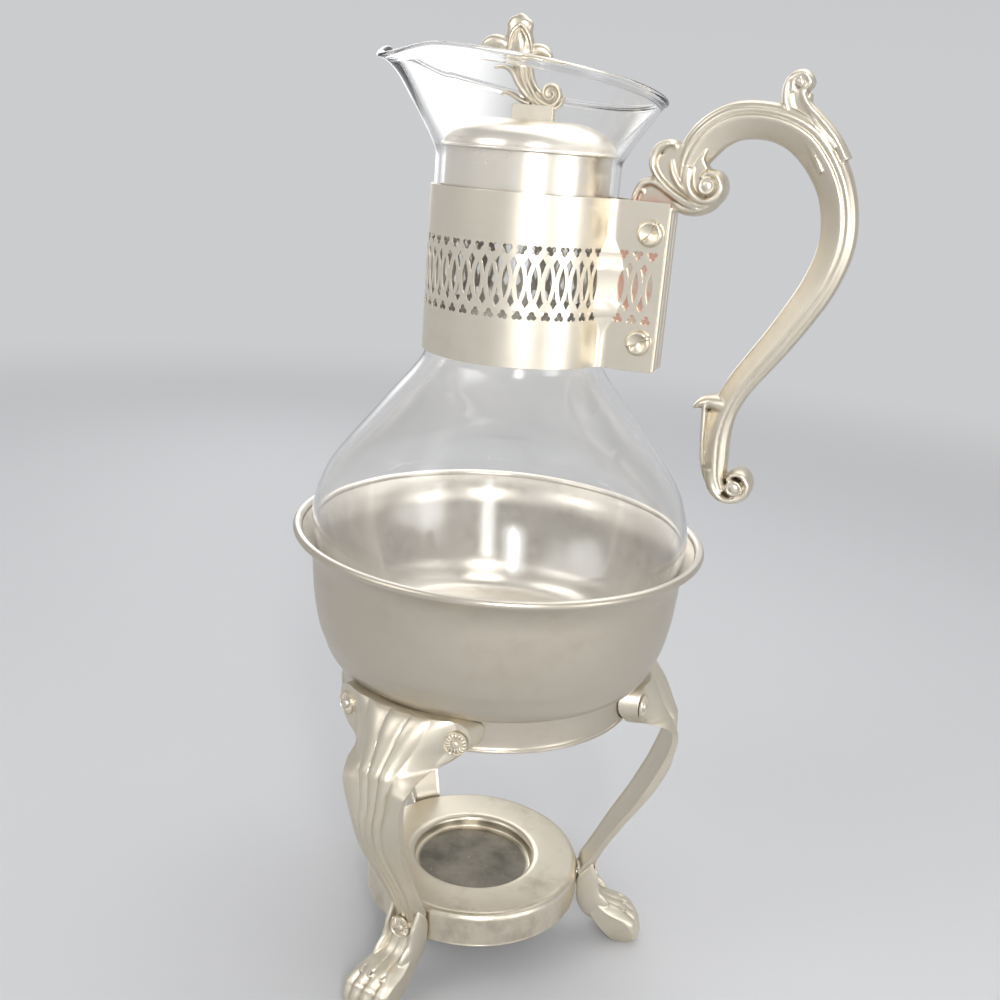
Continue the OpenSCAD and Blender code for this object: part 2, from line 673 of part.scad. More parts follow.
// one section of a leg: a fluted outer face, with toes at the foot, and a flat inner face
function leg_ring(q) =
    let (n = 24, w = q[4], f = q[5], rise = ramp(q[1], 34, 95), up = (carafe_base_z - drawn_base_z) * rise,
         out = (tray_r - drawn_tray_r) * (1 - rise) + (foot_ring_r - drawn_foot_r) * rise,
         outer = [q[0] + out, q[1] + up], inner = [q[2] + out, q[3] + up], across = outer - inner,
         thick = norm(across), way = across / thick, wing = ramp(q[1], 104, 119), paw = 1 - ramp(q[1], 17, 29))
    concat(
        [for (i = [0 : n])
            let (u = 2 * i / n - 1, y = w * u * (1 - 0.04 * u * u), e = min(abs(y) / f, 1),
                 flute = flute_d * ramp(q[1], 24, 44) * (0.5 + 0.5 * cos(2.5 * 360 * e)) * (e < 1 ? 1 : 0),
                 toe = 2.2 * paw * (abs(sin(360 * u)) - 1) * (1 - 0.5 * u * u) - 3 * paw * u * u,
                 round = (1 - paw) * thick * 0.5 * pow(e, 3),
                 shank = outer + way * (flute - flute_d + toe - round),
                 side = sqrt(max(wing_r * wing_r - y * y, 0)),
                 crest = side + (outer[0] - side) * pow(1 - e * e, 1.4) + flute - flute_d * (1 - e))
            [shank[0] + (crest - shank[0]) * wing, y, shank[1]]],
        [for (i = [0 : 4]) [inner[0], w * 0.86 * (1 - i / 2), inner[1]]]);

// 0 below a, 1 above b, and smooth between
function ramp(x, a, b) = let (t = min(max((x - a) / (b - a), 0), 1)) t * t * (3 - 2 * t);

module at_wings() {
    for (a = leg_angles, s = [-1, 1])
        rotate([0, 0, a + s * rosette_a])
            translate([0, 0, rosette_z])
                rotate([0, 90, 0])
                    children();
}

module at_ankles() {
    for (a = leg_angles)
        rotate([0, 0, a])
            translate([0, 0, ankle_z])
                rotate([0, 90, 0])
                    children();
}

module wing_holes(gap) {
    at_wings()
        translate([0, 0, foot_ring_r - 8])
            cylinder(r = bolt_r + gap, h = 20);
}

module ankle_holes(gap) {
    at_ankles()
        translate([0, 0, tray_r - 6])
            cylinder(r = bolt_r + gap, h = 20);
}

// shallow flats that the rosettes' heads stand on
module rosette_seats() {
    at_wings()
        translate([0, 0, wing_head_r - 0.1])
            cylinder(r = rosette_r + 0.3, h = 5);
    at_ankles()
        translate([0, 0, ankle_head_r - 0.1])
            cylinder(r = rosette_r + 0.3, h = 5);
}

// a bolt whose round head is a rosette with a raised hub, head on z = 0
module rosette_bolt(shank_l) {
    rotate_extrude()
        polygon([[0, 0], [rosette_r, 0], [rosette_r, 0.7], [rosette_r - 0.3, 1.1], [rosette_r - 0.7, 1.1],
            [rosette_r - 0.9, 0.8], [rosette_r * 0.42, 0.9], [rosette_r * 0.36, 1.5], [rosette_r * 0.2, 1.8],
            [0, 1.9]]);
    for (i = [0 : 11])
        rotate([0, 0, i * 30])
            translate([rosette_r * 0.38, -0.4, 0.5])
                cube([rosette_r * 0.54, 0.8, 0.8]);
    translate([0, 0, -shank_l])
        cylinder(r = bolt_r, h = shank_l + 0.3);
}

wing_head_r = wing_r + 0.2;
ankle_head_r = ankle_out + 0.1;
nut_r = 3.4;
nut_t = 2.4;

module wing_rosettes() {
    color([0.78, 0.76, 0.71])
    at_wings()
        translate([0, 0, wing_head_r])
            rosette_bolt(wing_head_r - foot_ring_r + bowl_t + nut_t + 0.8);
}

module wing_nuts() {
    color([0.7, 0.69, 0.66])
    at_wings()
        translate([0, 0, foot_ring_r - bowl_t - 0.4 - nut_t])
            nut(nut_r, bolt_r + 0.1, nut_t);
}

module ankle_rosettes() {
    color([0.78, 0.76, 0.71])
    at_ankles()
        translate([0, 0, ankle_head_r])
            rosette_bolt(ankle_head_r - tray_r + tray_t + nut_t + 0.8);
}

module ankle_nuts() {
    color([0.7, 0.69, 0.66])
    at_ankles()
        translate([0, 0, tray_r - tray_t - 0.3 - nut_t])
            nut(nut_r, bolt_r + 0.1, nut_t);
}

glass_carafe();
collar_band();
handle();
clamp_screws();
clamp_nuts();
clamp_washers();
lid_cap();
lid_sleeve();
lid_finial();
finial_screw();
finial_washer();
warmer_bowl();
candle_tray();
leg_right();
leg_front();
leg_back();
wing_rosettes();
wing_nuts();
ankle_rosettes();
ankle_nuts();
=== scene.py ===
import json
from math import asin, cos, hypot, pi, radians, sin, sqrt, tan

import bmesh
import bpy
import numpy as np
from mathutils import Matrix, Vector
from mathutils.geometry import delaunay_2d_cdt


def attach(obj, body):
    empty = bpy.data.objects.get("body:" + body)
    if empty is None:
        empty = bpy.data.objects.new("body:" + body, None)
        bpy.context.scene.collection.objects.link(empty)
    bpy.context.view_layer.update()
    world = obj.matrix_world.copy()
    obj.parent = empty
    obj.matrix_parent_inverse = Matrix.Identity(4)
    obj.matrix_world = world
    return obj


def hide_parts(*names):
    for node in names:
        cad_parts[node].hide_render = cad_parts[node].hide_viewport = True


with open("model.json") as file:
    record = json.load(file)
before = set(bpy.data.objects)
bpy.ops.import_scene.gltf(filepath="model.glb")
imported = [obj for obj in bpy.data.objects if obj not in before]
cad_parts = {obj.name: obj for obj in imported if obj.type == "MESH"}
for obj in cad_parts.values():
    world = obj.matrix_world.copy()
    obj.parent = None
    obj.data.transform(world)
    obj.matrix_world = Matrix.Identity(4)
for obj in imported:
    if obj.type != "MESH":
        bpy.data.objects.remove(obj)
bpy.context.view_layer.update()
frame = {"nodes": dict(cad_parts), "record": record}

scene = bpy.context.scene
mm = 0.001


def addObject(name, data):
    made = bpy.data.objects.new(name, data)
    scene.collection.objects.link(made)
    return made


cameraLook = {"place": (130.8, -402.7, 324.8),  # mm
              "heading": -18.08,  # degrees, turned left from +Y
              "down": 17.114, "tilt": 4.578, "lens": 40.81, "sensor": 36}


def placeCamera(look):
    camera = addObject("camera", bpy.data.cameras.new("camera"))
    camera.data.lens = look["lens"]
    camera.data.sensor_width = look["sensor"]
    camera.data.clip_start = 0.01
    place = Matrix.Translation(Vector(look["place"]) * mm)
    for angle, axis in ((-look["heading"], "Z"), (90 - look["down"], "X"), (look["tilt"], "Z")):
        place = place @ Matrix.Rotation(radians(angle), 4, axis)
    camera.matrix_world = place
    scene.camera = camera


placeCamera(cameraLook)
print("stage: camera")

# shader maths


def bothWays(operation):  # an operator and its reflected form
    return (lambda a, b: a.maths(operation, a, b)), (lambda a, b: a.maths(operation, b, a))


class Wire:  # a socket; sums and products of wires add Math nodes
    def __init__(self, board, socket):
        self.board = board
        self.socket = socket

    def maths(self, operation, *values):
        return self.board.node("ShaderNodeMath", {"operation": operation}, dict(enumerate(values)))

    def __abs__(self):
        return self.maths("ABSOLUTE", self)

    __add__, __radd__ = bothWays("ADD")
    __sub__, __rsub__ = bothWays("SUBTRACT")
    __mul__, __rmul__ = bothWays("MULTIPLY")
    __truediv__, __rtruediv__ = bothWays("DIVIDE")
    __pow__, __rpow__ = bothWays("POWER")


class Board:  # the nodes of a material, a lamp or the world
    def __init__(self, owner, kind="Material"):
        owner.use_nodes = True
        self.owner = owner
        self.kind = kind
        self.tree = owner.node_tree
        self.tree.nodes.clear()

    def node(self, kind, settings=None, values=None, output=0):
        made = self.tree.nodes.new(kind)
        for key, value in (settings or {}).items():
            setattr(made, key, value)
        for key, value in (values or {}).items():
            if isinstance(value, Wire):
                self.tree.links.new(value.socket, made.inputs[key])
            else:
                made.inputs[key].default_value = value
        return Wire(self, made.outputs[output]) if len(made.outputs) else made

    def blend(self, factor, colourA, colourB):
        return self.node("ShaderNodeMix", {"data_type": "RGBA"}, {0: factor, 6: colourA, 7: colourB}, 2)

    def noise(self, place, scale, detail=3.0, roughness=0.5):
        values = {"Vector": place, "Scale": scale, "Detail": detail, "Roughness": roughness}
        return self.node("ShaderNodeTexNoise", {}, values, "Fac")

    def ramp(self, factor, low, high):  # 0 at low, 1 at high, smooth between
        values = {0: factor, 1: low, 2: high, 3: 0.0, 4: 1.0}
        return self.node("ShaderNodeMapRange", {"interpolation_type": "SMOOTHSTEP"}, values)

    def place(self):  # where a point lies on its piece, in metres
        return self.node("ShaderNodeTexCoord", {}, {}, "Object")

    def parts(self, vector):
        made = self.node("ShaderNodeSeparateXYZ", {}, {0: vector}).socket.node
        return [Wire(self, socket) for socket in made.outputs]

    def join(self, x, y, z):
        return self.node("ShaderNodeCombineXYZ", {}, {0: x, 1: y, 2: z})

    def bump(self, look, height):
        return self.node("ShaderNodeBump", {}, {
            "Strength": look["bump"], "Distance": look["bumpDistance"], "Height": height})

    def glow(self, colour, strength=1.0):
        return self.node("ShaderNodeEmission", {}, {"Color": colour, "Strength": strength})

    def mix(self, factor, shaderA, shaderB):
        return self.node("ShaderNodeMixShader", {}, {0: factor, 1: shaderA, 2: shaderB})

    def finish(self, shader):
        self.node("ShaderNodeOutput" + self.kind, {}, {"Surface": shader})
        return self.owner


def rgb(*values):
    return (*values, 1.0)


def fromAxis(x, y):  # the last term keeps it off zero on the axis
    return (x * x + y * y + 1e-9) ** 0.5


# light and floor

roomLook = {
    "horizon": rgb(0.60, 0.605, 0.62),  # the backdrop, from its foot up
    "middle": rgb(0.48, 0.48, 0.485),
    "overhead": rgb(0.52, 0.52, 0.52),
    "horizonUp": 0.06,  # sines of the heights up to which, at which and from which the three show
    "middleUp": 0.45,
    "overheadUp": 0.95,
    "light": rgb(0.47, 0.47, 0.475),  # what the room adds to the lamps
    "floor": rgb(0.56, 0.565, 0.58),
    "fleck": rgb(0.45, 0.46, 0.48),
    "fleckShare": 0.06,
    "fleckScale": 900.0,
    "floorRough": 0.85,
    "floorHalf": 3.0,  # metres, as the next two
    "fadeFrom": 0.55,
    "fadeTo": 1.5,
}
# place and aim in mm, size in m, power in W, and how much brighter than its edge a lamp's middle is
lampKeys = ("name", "place", "aim", "size", "power", "core")
lamps = [dict(zip(lampKeys, row)) for row in (
    ("keyLamp", (-620, -780, 860), (0, 0, 190), (0.9, 0.9), 8.0, 1.0),
    ("stripLamp", (420, -820, 560), (0, 0, 230), (0.34, 1.1), 7.0, 3.0),
    ("sideLamp", (900, -330, 260), (0, 0, 180), (0.5, 0.9), 5.0, 1.0),
    ("topLamp", (160, 420, 1150), (0, 0, 200), (1.9, 1.4), 15.0, 1.0),
    ("backLamp", (-500, 700, 600), (0, 0, 200), (0.6, 1.0), 4.0, 1.0),
)]
# a lamp's glow rises over these shares of its half width and half height, its core with these powers
lampFade = {"across": 0.8, "along": 0.7, "coreAcross": 6.0, "coreAlong": 1.5, "coreGain": 4}


def seenRay(board):  # 1 for what the camera sees, also through glass and in a reflection
    camera, glossy, through = (board.node("ShaderNodeLightPath", {}, {}, kind)
                               for kind in ("Is Camera Ray", "Is Glossy Ray", "Is Transmission Ray"))
    return camera.maths("MAXIMUM", camera, glossy.maths("MAXIMUM", glossy, through))


def makeRoom(look):
    world = bpy.data.worlds.new("studio")
    scene.world = world
    board = Board(world, "World")
    up = board.parts(board.node("ShaderNodeTexCoord", {}, {}, "Generated"))[2]
    rise = board.ramp(up, look["horizonUp"], look["middleUp"])
    wall = board.blend(rise, look["horizon"], look["middle"])
    wall = board.blend(board.ramp(up, look["middleUp"], look["overheadUp"]), wall, look["overhead"])
    around = board.node("ShaderNodeBackground", {}, {"Color": look["light"]})
    seen = board.node("ShaderNodeBackground", {}, {"Color": wall})
    board.finish(board.mix(seenRay(board), around, seen))


def makeFloor(look):  # paper that fades into the backdrop
    board = Board(bpy.data.materials.new("floorPaper"))
    place = board.place()
    x, y = board.parts(place)[:2]
    far = board.ramp(fromAxis(x, y), look["fadeFrom"], look["fadeTo"]) * seenRay(board)
    grain = board.noise(place, look["fleckScale"])
    tone = board.blend(grain * look["fleckShare"], look["floor"], look["fleck"])
    paper = board.node("ShaderNodeBsdfPrincipled", {}, {"Base Color": tone, "Roughness": look["floorRough"]})
    half = look["floorHalf"]
    mesh = bpy.data.meshes.new("floor")
    mesh.from_pydata([(-half, -half, 0), (half, -half, 0), (half, half, 0), (-half, half, 0)], [], [range(4)])
    mesh.materials.append(board.finish(board.mix(far, paper, board.glow(look["horizon"]))))
    floor = addObject("floor", mesh)


def makeLamp(look):
    light = bpy.data.lights.new(look["name"], "AREA")
    light.shape = "RECTANGLE"
    light.size, light.size_y = look["size"]
    light.energy = look["power"]
    board = Board(light, "Light")  # it fades towards its edges, so that no reflection has a hard outline
    u, v = board.parts(board.node("ShaderNodeNewGeometry", {}, {}, "Parametric"))[:2]
    across, along = 1 - abs(u * 2 - 1), 1 - abs(v * 2 - 1)
    fade = board.ramp(across, 0.0, lampFade["across"]) * board.ramp(along, 0.0, lampFade["along"])
    core = across ** lampFade["coreAcross"] * along ** lampFade["coreAlong"]
    core = core * (look["core"] - 1) * lampFade["coreGain"]
    board.finish(board.glow(rgb(1, 1, 1), fade * (1.0 + core)))
    place = Vector(look["place"]) * mm
    turn = (Vector(look["aim"]) * mm - place).to_track_quat("-Z", "Y").to_matrix().to_4x4()
    addObject(look["name"], light).matrix_world = Matrix.Translation(place) @ turn


makeRoom(roomLook)
makeFloor(roomLook)
for lampLook in lamps:
    makeLamp(lampLook)
scene.view_settings.view_transform = "Standard"
print("stage: room")

# finishes

plateLook = {  # what every silver plate starts from
    "colour": rgb(0.78, 0.715, 0.59),
    "worn": rgb(0.85, 0.80, 0.70),
    # painted sheen: a lighter colour for the sides that face the light
    "paintedSheen": rgb(0.97, 0.915, 0.835),
    "stain": rgb(0.42, 0.37, 0.28),
    "hollow": rgb(0.16, 0.125, 0.075),
    "copper": rgb(0.72, 0.42, 0.33),
    "black": rgb(0.085, 0.078, 0.062),
    "metal": 1.0,
    "rough": 0.30,
    "roughSpread": 0.12,
    "roughStreak": 0.06,
    "roughHollow": 0.25,
    "stainFrom": 0.56,  # noise level at which the stain starts
    "stainTo": 0.80,
    "stainScale": 26.0,
    "stainShare": 0.35,
    "mottleFiner": 7,  # times as fine as the stain
    "mottleShare": 0.16,
    "speckScale": 700.0,  # bright specks left in the black
    "speckEdges": (0.72, 0.78),
    "hollowEdges": (0.52, 0.95),  # from where it starts to where it is full, as the other edges
    "hollowShare": 0.85,
    "wornEdges": (0.48, 0.15),
    "wornShare": 0.6,
    "patchEdges": (0.3, 0.62),
    "blackLeast": 0.72,
    "bump": 0.35,
    "bumpDistance": 0.0004,  # metres
    "streakBump": 0.10,
    "streakFine": 900.0,
    "streakTurn": 5.0,
    "grainBump": 0.05,
    "grainScale": 1500.0,
}


def makePlate(name, copper=None, tarnish=None, paintedSheenMask=None, **changes):
    look = {**plateLook, **changes}
    board = Board(bpy.data.materials.new(name))
    place = board.place()
    x, y, z = board.parts(place)
    radius = fromAxis(x, y)
    fine, slow = look["streakFine"], look["streakTurn"]
    turned = board.join(x / radius * slow, y / radius * slow, z * fine)
    streak = board.node("ShaderNodeTexNoise", {"noise_dimensions": "4D"},
                        {"Vector": turned, "W": radius * fine, "Scale": 1.0, "Detail": 3.0}, "Fac")
    cloud = board.noise(place, look["stainScale"], 5.0, 0.62)
    mottle = board.noise(place, look["stainScale"] * look["mottleFiner"], 4.0, 0.6)
    grain = board.noise(place, look["grainScale"], 2.0)
    stain = board.ramp(cloud * 0.75 + mottle * 0.25, look["stainFrom"], look["stainTo"]) * look["stainShare"]
    hollow = board.node("ShaderNodeAttribute", {"attribute_name": "hollow"}, {}, "Fac")
    dark = board.ramp(hollow, *look["hollowEdges"]) * look["hollowShare"]
    marked = board.ramp(hollow, 0.001, 0.01)  # 0 on a piece without hollows
    raised = board.ramp(hollow, *look["wornEdges"]) * marked * look["wornShare"]
    colour = look["colour"]
    # painted sheen: a mask lightens the sides that face the light
    if paintedSheenMask:
        colour = board.blend(paintedSheenMask(board, x, y, z), colour, look["paintedSheen"])
    for share, shade in ((stain, "stain"), (raised, "worn"), (mottle * look["mottleShare"], "stain")):
        colour = board.blend(share, colour, look[shade])
    if copper:
        patches = board.ramp(mottle, *look["patchEdges"])
        colour = board.blend(copper(board, x, y, z) * patches, colour, look["copper"])
    if tarnish:
        least = look["blackLeast"]
        black = tarnish(board, x, y, z) * (least + (1 - least) * board.ramp(cloud, 0.3, 0.7))
        specks = board.ramp(board.noise(place, look["speckScale"], 2.0), *look["speckEdges"])
        specks = specks * board.ramp(mottle, 0.5, 0.62)
        colour = board.blend(black * (1 - specks), colour, look["black"])
    colour = board.blend(dark, colour, look["hollow"])
    rough = cloud * look["roughSpread"] + (streak - 0.5) * look["roughStreak"]
    rough = rough + (look["rough"] - look["roughSpread"] / 2) + dark * look["roughHollow"]
    height = streak * look["streakBump"] + grain * look["grainBump"]
    values = {"Base Color": colour, "Metallic": look["metal"], "Roughness": rough,
              "Normal": board.bump(look, height)}
    return board.finish(board.node("ShaderNodeBsdfPrincipled", {}, values))


# in metres, from the edge of each patch to where it is full
copperEdges = {"foot": (0.2545, 0.262), "top": (0.3165, 0.309), "outside": (0.0545, 0.0535)}
tarnishEdges = {"radius": (0.0246, 0.0225), "top": (0.035, 0.0335)}


def nearBar(board, x, y, z):  # where the plate on the clamp bar is worn down to copper
    foot, top, outside = copperEdges.values()
    return board.ramp(z, *foot) * board.ramp(z, *top) * board.ramp(x, *outside)


def inRecess(board, x, y, z):  # where a candle's heat has tarnished the tray
    return board.ramp(fromAxis(x, y), *tarnishEdges["radius"]) * board.ramp(z, *tarnishEdges["top"])


def paintedBowlSheen(board, x, y, z):  # painted sheen and shade: the side that faces the axis or upwards is painted lighter, the outward side stays darker
    nx, ny, nz = board.parts(board.node("ShaderNodeNewGeometry", {}, {}, "True Normal"))
    outward = (nx * x + ny * y) / fromAxis(x, y)
    return board.ramp(nz - outward, 0.0, 0.7)


clearLook = {
    "colour": rgb(0.995, 0.993, 0.985),
    "film": rgb(0.95, 0.95, 0.94),  # a thin haze left from washing
    "filmShare": 0.5,
    "filmScale": 42.0,
    "filmRough": 0.05,
    "rough": 0.01,
    "ior": 1.47,
    "waveScale": 16.0,
    "bump": 0.25,
    "bumpDistance": 0.0012,
    "shadow": rgb(0.96, 0.96, 0.955),
}


def makeGlass(name, look):
    board = Board(bpy.data.materials.new(name))
    place = board.place()
    film = board.ramp(board.noise(place, look["filmScale"], 5.0, 0.7), 0.5, 0.85)
    glass = board.node("ShaderNodeBsdfPrincipled", {}, {
        "Base Color": board.blend(film * look["filmShare"], look["colour"], look["film"]),
        "Roughness": film * look["filmRough"] + look["rough"], "IOR": look["ior"],
        "Transmission Weight": 1.0, "Normal": board.bump(look, board.noise(place, look["waveScale"], 1.0))})
    clear = board.node("ShaderNodeBsdfTransparent", {}, {"Color": look["shadow"]})
    shadow = board.node("ShaderNodeLightPath", {}, {}, "Is Shadow Ray")  # lets the lamps' light through
    return board.finish(board.mix(shadow, glass, clear))


slotFinish = {
    "clear_glass": makeGlass("clearGlass", clearLook),
    "band_plate": makePlate("bandPlate", rough=0.36, stainShare=0.3, colour=rgb(0.82, 0.76, 0.645)),
    "cast_plate": makePlate("castPlate", nearBar, rough=0.37, stainShare=0.22, colour=rgb(0.70, 0.64, 0.53),
                            streakBump=0.0, grainBump=0.02),
    "lid_plate": makePlate("lidPlate", rough=0.30, stainShare=0.2, colour=rgb(0.95, 0.895, 0.80)),
    # painted sheen: the dark colour is painted lighter on the sides that face up or towards the axis
    "bowl_plate": makePlate("bowlPlate", paintedSheenMask=paintedBowlSheen, rough=0.34, stainShare=0.7, stainFrom=0.5,
                            stainScale=20.0, streakBump=0.2, metal=0.82, colour=rgb(0.55, 0.50, 0.42)),
    "tray_plate": makePlate("trayPlate", tarnish=inRecess, rough=0.34, stainShare=0.8, stainFrom=0.48,
                            stainTo=0.72),
    "leg_plate": makePlate("legPlate", rough=0.43, stainShare=0.3, colour=rgb(0.70, 0.645, 0.535), metal=0.93,
                           streakBump=0.0, grainBump=0.12),
    "screw_metal": makePlate("screwMetal", rough=0.36, stainShare=0.3, streakBump=0.0, grainBump=0.15),
}
for node in frame["record"]["subparts"]:
    for materialSlot in frame["nodes"][node["node"]].material_slots:
        materialSlot.material = slotFinish[node["material_slot"]]
print("stage: finishes")

# lines and meshes, in mm


def smoothLine(points, steps):  # a curve through the points, with so many steps from one to the next
    points = np.array(points, float)
    last = len(points) - 1
    line = []
    for step in range(last * steps + 1):
        start = min(step // steps, last - 1)
        t = step / steps - start
        a, b, c, d = (points[min(max(start + k, 0), last)] for k in (-1, 0, 1, 2))
        line.append(0.5 * (2 * b + (c - a) * t + (2 * a - 5 * b + 4 * c - d) * t * t
                           + (3 * b - a - 3 * c + d) * t ** 3))
    return np.array(line)


def course(line):  # its direction at each point
    way = np.vstack([line[1:], line[-1:]]) - np.vstack([line[:1], line[:-1]])
    return way / np.linalg.norm(way, axis=1)[:, None]


def shifted(line, distance):  # moved to its left
    return line + distance * np.stack([-course(line)[:, 1], course(line)[:, 0]], axis=1)


def arc(x, z, wide, tall, start, end, steps):  # of an ellipse, in degrees
    angles = np.radians(np.linspace(start, end, steps + 1))
    return np.stack([x + wide * np.cos(angles), z + tall * np.sin(angles)], axis=1)


def circle(x, z, radius, points=12):
    return arc(x, z, radius, radius, 0, 360 - 360 / points, points - 1)


def heading(degrees):
    return cos(radians(degrees)), sin(radians(degrees))


def wheel(steps):  # headings all the way round
    angles = [2 * pi * step / steps for step in range(steps)]
    return [(cos(angle), sin(angle)) for angle in angles]


def ramp(value, low, high):
    t = min(max((value - low) / (high - low), 0.0), 1.0)
    return t * t * (3 - 2 * t)


def bareMesh(name, points, faces):
    mesh = bpy.data.meshes.new(name)
    mesh.from_pydata([tuple(float(v) * mm for v in point) for point in points], [], faces)
    return mesh


def addPiece(name, mesh, body, slot, stands=(), sharp=None):  # sharp: degrees at which an edge stays crisp
    mesh.shade_smooth()
    if sharp:
        mesh.set_sharp_from_angle(angle=radians(sharp))
    mesh.materials.clear()
    mesh.materials.append(slotFinish[slot])
    piece = addObject(name, mesh)
    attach(piece, body)
    if stands:
        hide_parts(*stands)
    return piece


def makePiece(name, shape, body, slot, stands=(), sharp=None):
    mesh = bareMesh(name, *shape)
    build = bmesh.new()
    build.from_mesh(mesh)
    bmesh.ops.remove_doubles(build, verts=build.verts, dist=1e-7)
    bmesh.ops.dissolve_degenerate(build, edges=build.edges, dist=1e-7)
    bmesh.ops.recalc_face_normals(build, faces=build.faces)
    build.to_mesh(mesh)
    build.free()
    return addPiece(name, mesh, body, slot, stands, sharp)


def stitch(rings, closed=False):  # closed joins the last ring to the first; otherwise both ends are capped
    count, size = len(rings), len(rings[0])
    points = [tuple(point) for ring in rings for point in ring]
    faces = []
    for i in range(count if closed else count - 1):
        here, ahead = i * size, (i + 1) % count * size
        for j in range(size):
            k = (j + 1) % size
            faces.append((here + j, here + k, ahead + k, ahead + j))
    for ring, turn in () if closed else ((0, 1), (count - 1, -1)):
        points.append(tuple(np.mean(np.array(rings[ring]), axis=0)))
        for j in range(size):
            faces.append((len(points) - 1, ring * size + (j + 1) % size, ring * size + j)[::turn])
    return points, faces


def spun(outline, steps):  # a closed outline of radius and height, turned round the axis
    rings = [[(max(r, 0) * c, max(r, 0) * s, z) for r, z in outline] for c, s in wheel(steps)]
    return stitch(rings, closed=True)


def laid(shape, x, z):  # a spun shape with its axis turned across the handle
    points, faces = shape
    return [(px + x, pz, py + z) for px, py, pz in points], faces


def joined(shapes):
    points, faces = [], []
    for morePoints, moreFaces in shapes:
        faces += [tuple(k + len(points) for k in face) for face in moreFaces]
        points += list(morePoints)
    return points, faces


def makeSpun(name, outlines, steps, *rest, **more):
    makePiece(name, joined([spun(outline, steps) for outline in outlines]), *rest, **more)


def cast(name, shapes, voxel, smoothing=2):  # one skin over solids that run into each other
    pattern = addObject(name + "Pattern", bareMesh(name, *joined(shapes)))
    remesh = pattern.modifiers.new("skin", "REMESH")
    remesh.mode = "VOXEL"
    remesh.voxel_size = voxel * mm
    smooth = pattern.modifiers.new("smooth", "SMOOTH")
    smooth.factor = 0.5
    smooth.iterations = smoothing
    bpy.context.view_layer.update()
    skin = bpy.data.meshes.new_from_object(pattern.evaluated_get(bpy.context.evaluated_depsgraph_get()))
    bpy.data.objects.remove(pattern)
    skin.name = name
    markHollows(skin, voxel * mm)
    return skin


hollowLook = {"rounds": 3, "spread": 6, "hold": 0.4, "gain": 1.2}


def markHollows(mesh, spacing):  # 0.5 is flat, 1 a hollow and 0 a ridge
    def table(rows, name, size, kind=float):
        values = np.empty(len(rows) * size, kind)
        rows.foreach_get(name, values)
        return values.reshape(-1, size)

    points, normals = table(mesh.vertices, "co", 3), table(mesh.vertices, "normal", 3)
    edges, count = table(mesh.edges, "vertices", 2, int), len(points)
    degree = np.maximum(np.bincount(edges.ravel(), minlength=count), 1)

    def around(values):  # each point's neighbours, averaged
        total = np.bincount(edges[:, 0], values[edges[:, 1]], count)
        total += np.bincount(edges[:, 1], values[edges[:, 0]], count)
        return total / degree

    middle = points
    for step in range(hollowLook["rounds"]):
        middle = np.stack([around(middle[:, k]) for k in range(3)], axis=1)
    bend = np.einsum("ij,ij->i", middle - points, normals) / spacing
    for step in range(hollowLook["spread"]):
        bend = hollowLook["hold"] * bend + (1 - hollowLook["hold"]) * around(bend)
    layer = mesh.attributes.new("hollow", "FLOAT", "POINT")
    layer.data.foreach_set("value", np.clip(0.5 + bend * hollowLook["gain"], 0, 1).astype(np.float32))


def soften(piece, width):  # rounds the crisp edges
    bevel = piece.modifiers.new("edges", "BEVEL")
    bevel.width = width * mm
    bevel.segments = 2
    bevel.limit_method = "ANGLE"
    bevel.angle_limit = radians(50)
    bevel.harden_normals = True


# carafe

glassLook = {
    "base": 130.9,
    "bodyRadius": 73.0,
    "neckRadius": 33.3,
    "wall": 2.0,
    "collarFoot": 253.0,
    "flareStart": 322.0,
    "flareBend": 0.12,  # the larger, the more evenly the mouth widens
    "mouthHeight": 350.5,
    "mouthRadius": 49.4,
    "mouthSlant": 7.0,
    "mouthStretch": 0.55,  # how much wider the mouth is where it is higher, as a share of the slope
    "lipAt": 227.0,  # degrees round from the handle
    "lipHalf": 25.0,
    "lipReach": 5.0,
    "lipDip": 4.0,
    "bead": 0.6,  # how far the rim's melted edge swells on each side
    "beadFrom": 0.93,  # share of the flare
    "beadTo": 0.99,
    "beadRise": 1.5,
    "steps": 216,
}
rimTurns = np.radians([15, 35, 55, 75, 90, 105, 125, 145, 165])  # over the melted edge, from outside


def glassSide(look):
    base, body, neck, foot = (look[key] for key in ("base", "bodyRadius", "neckRadius", "collarFoot"))
    return smoothLine([
        (0, base + 1), (20, base + 0.8), (32, base + 0.3), (38, base), (42, base + 0.4), (46, base + 1.7),
        (54, base + 7.6), (body - 12, base + 16), (body - 7.2, base + 26), (body - 3.4, base + 37),
        (body - 1.1, base + 47), (body, base + 56), (body - 1.3, foot - 58), (body - 5.1, foot - 48),
        (body - 12.1, foot - 38), (body - 20, foot - 28), (body - 27.9, foot - 18), (neck + 4.6, foot - 9.2),
        (neck + 1.1, foot - 4), (neck + 0.1, foot - 1.2), (neck, foot + 2.5), (neck, foot + 20),
        (neck, foot + 40), (neck, look["flareStart"] - 5), (neck, look["flareStart"] - 1)], 6)


def mouthPoint(look, angle, t, side):  # t runs up the flare; side is 0 outside and 1 inside
    slope = tan(radians(look["mouthSlant"])) * cos(radians(angle - look["lipAt"]))
    away = abs(angle - look["lipAt"]) / look["lipHalf"]
    lip = cos(radians(90 * away)) ** 2 if away < 1 else 0.0
    neck, start, bend = look["neckRadius"], look["flareStart"], look["flareBend"]
    rimHeight = look["mouthHeight"] + look["mouthRadius"] * slope - look["beadRise"]
    rimRadius = look["mouthRadius"] * (1 + look["mouthStretch"] * slope)
    swell = look["bead"] * ramp(t, look["beadFrom"], look["beadTo"])
    radius = neck + (rimRadius - neck) * (1 + bend) * t * t / (t + bend)
    radius += look["lipReach"] * lip * t ** 4 + (-look["wall"] - swell if side else swell)
    return radius, start + (rimHeight - start) * t - look["lipDip"] * lip * t ** 6


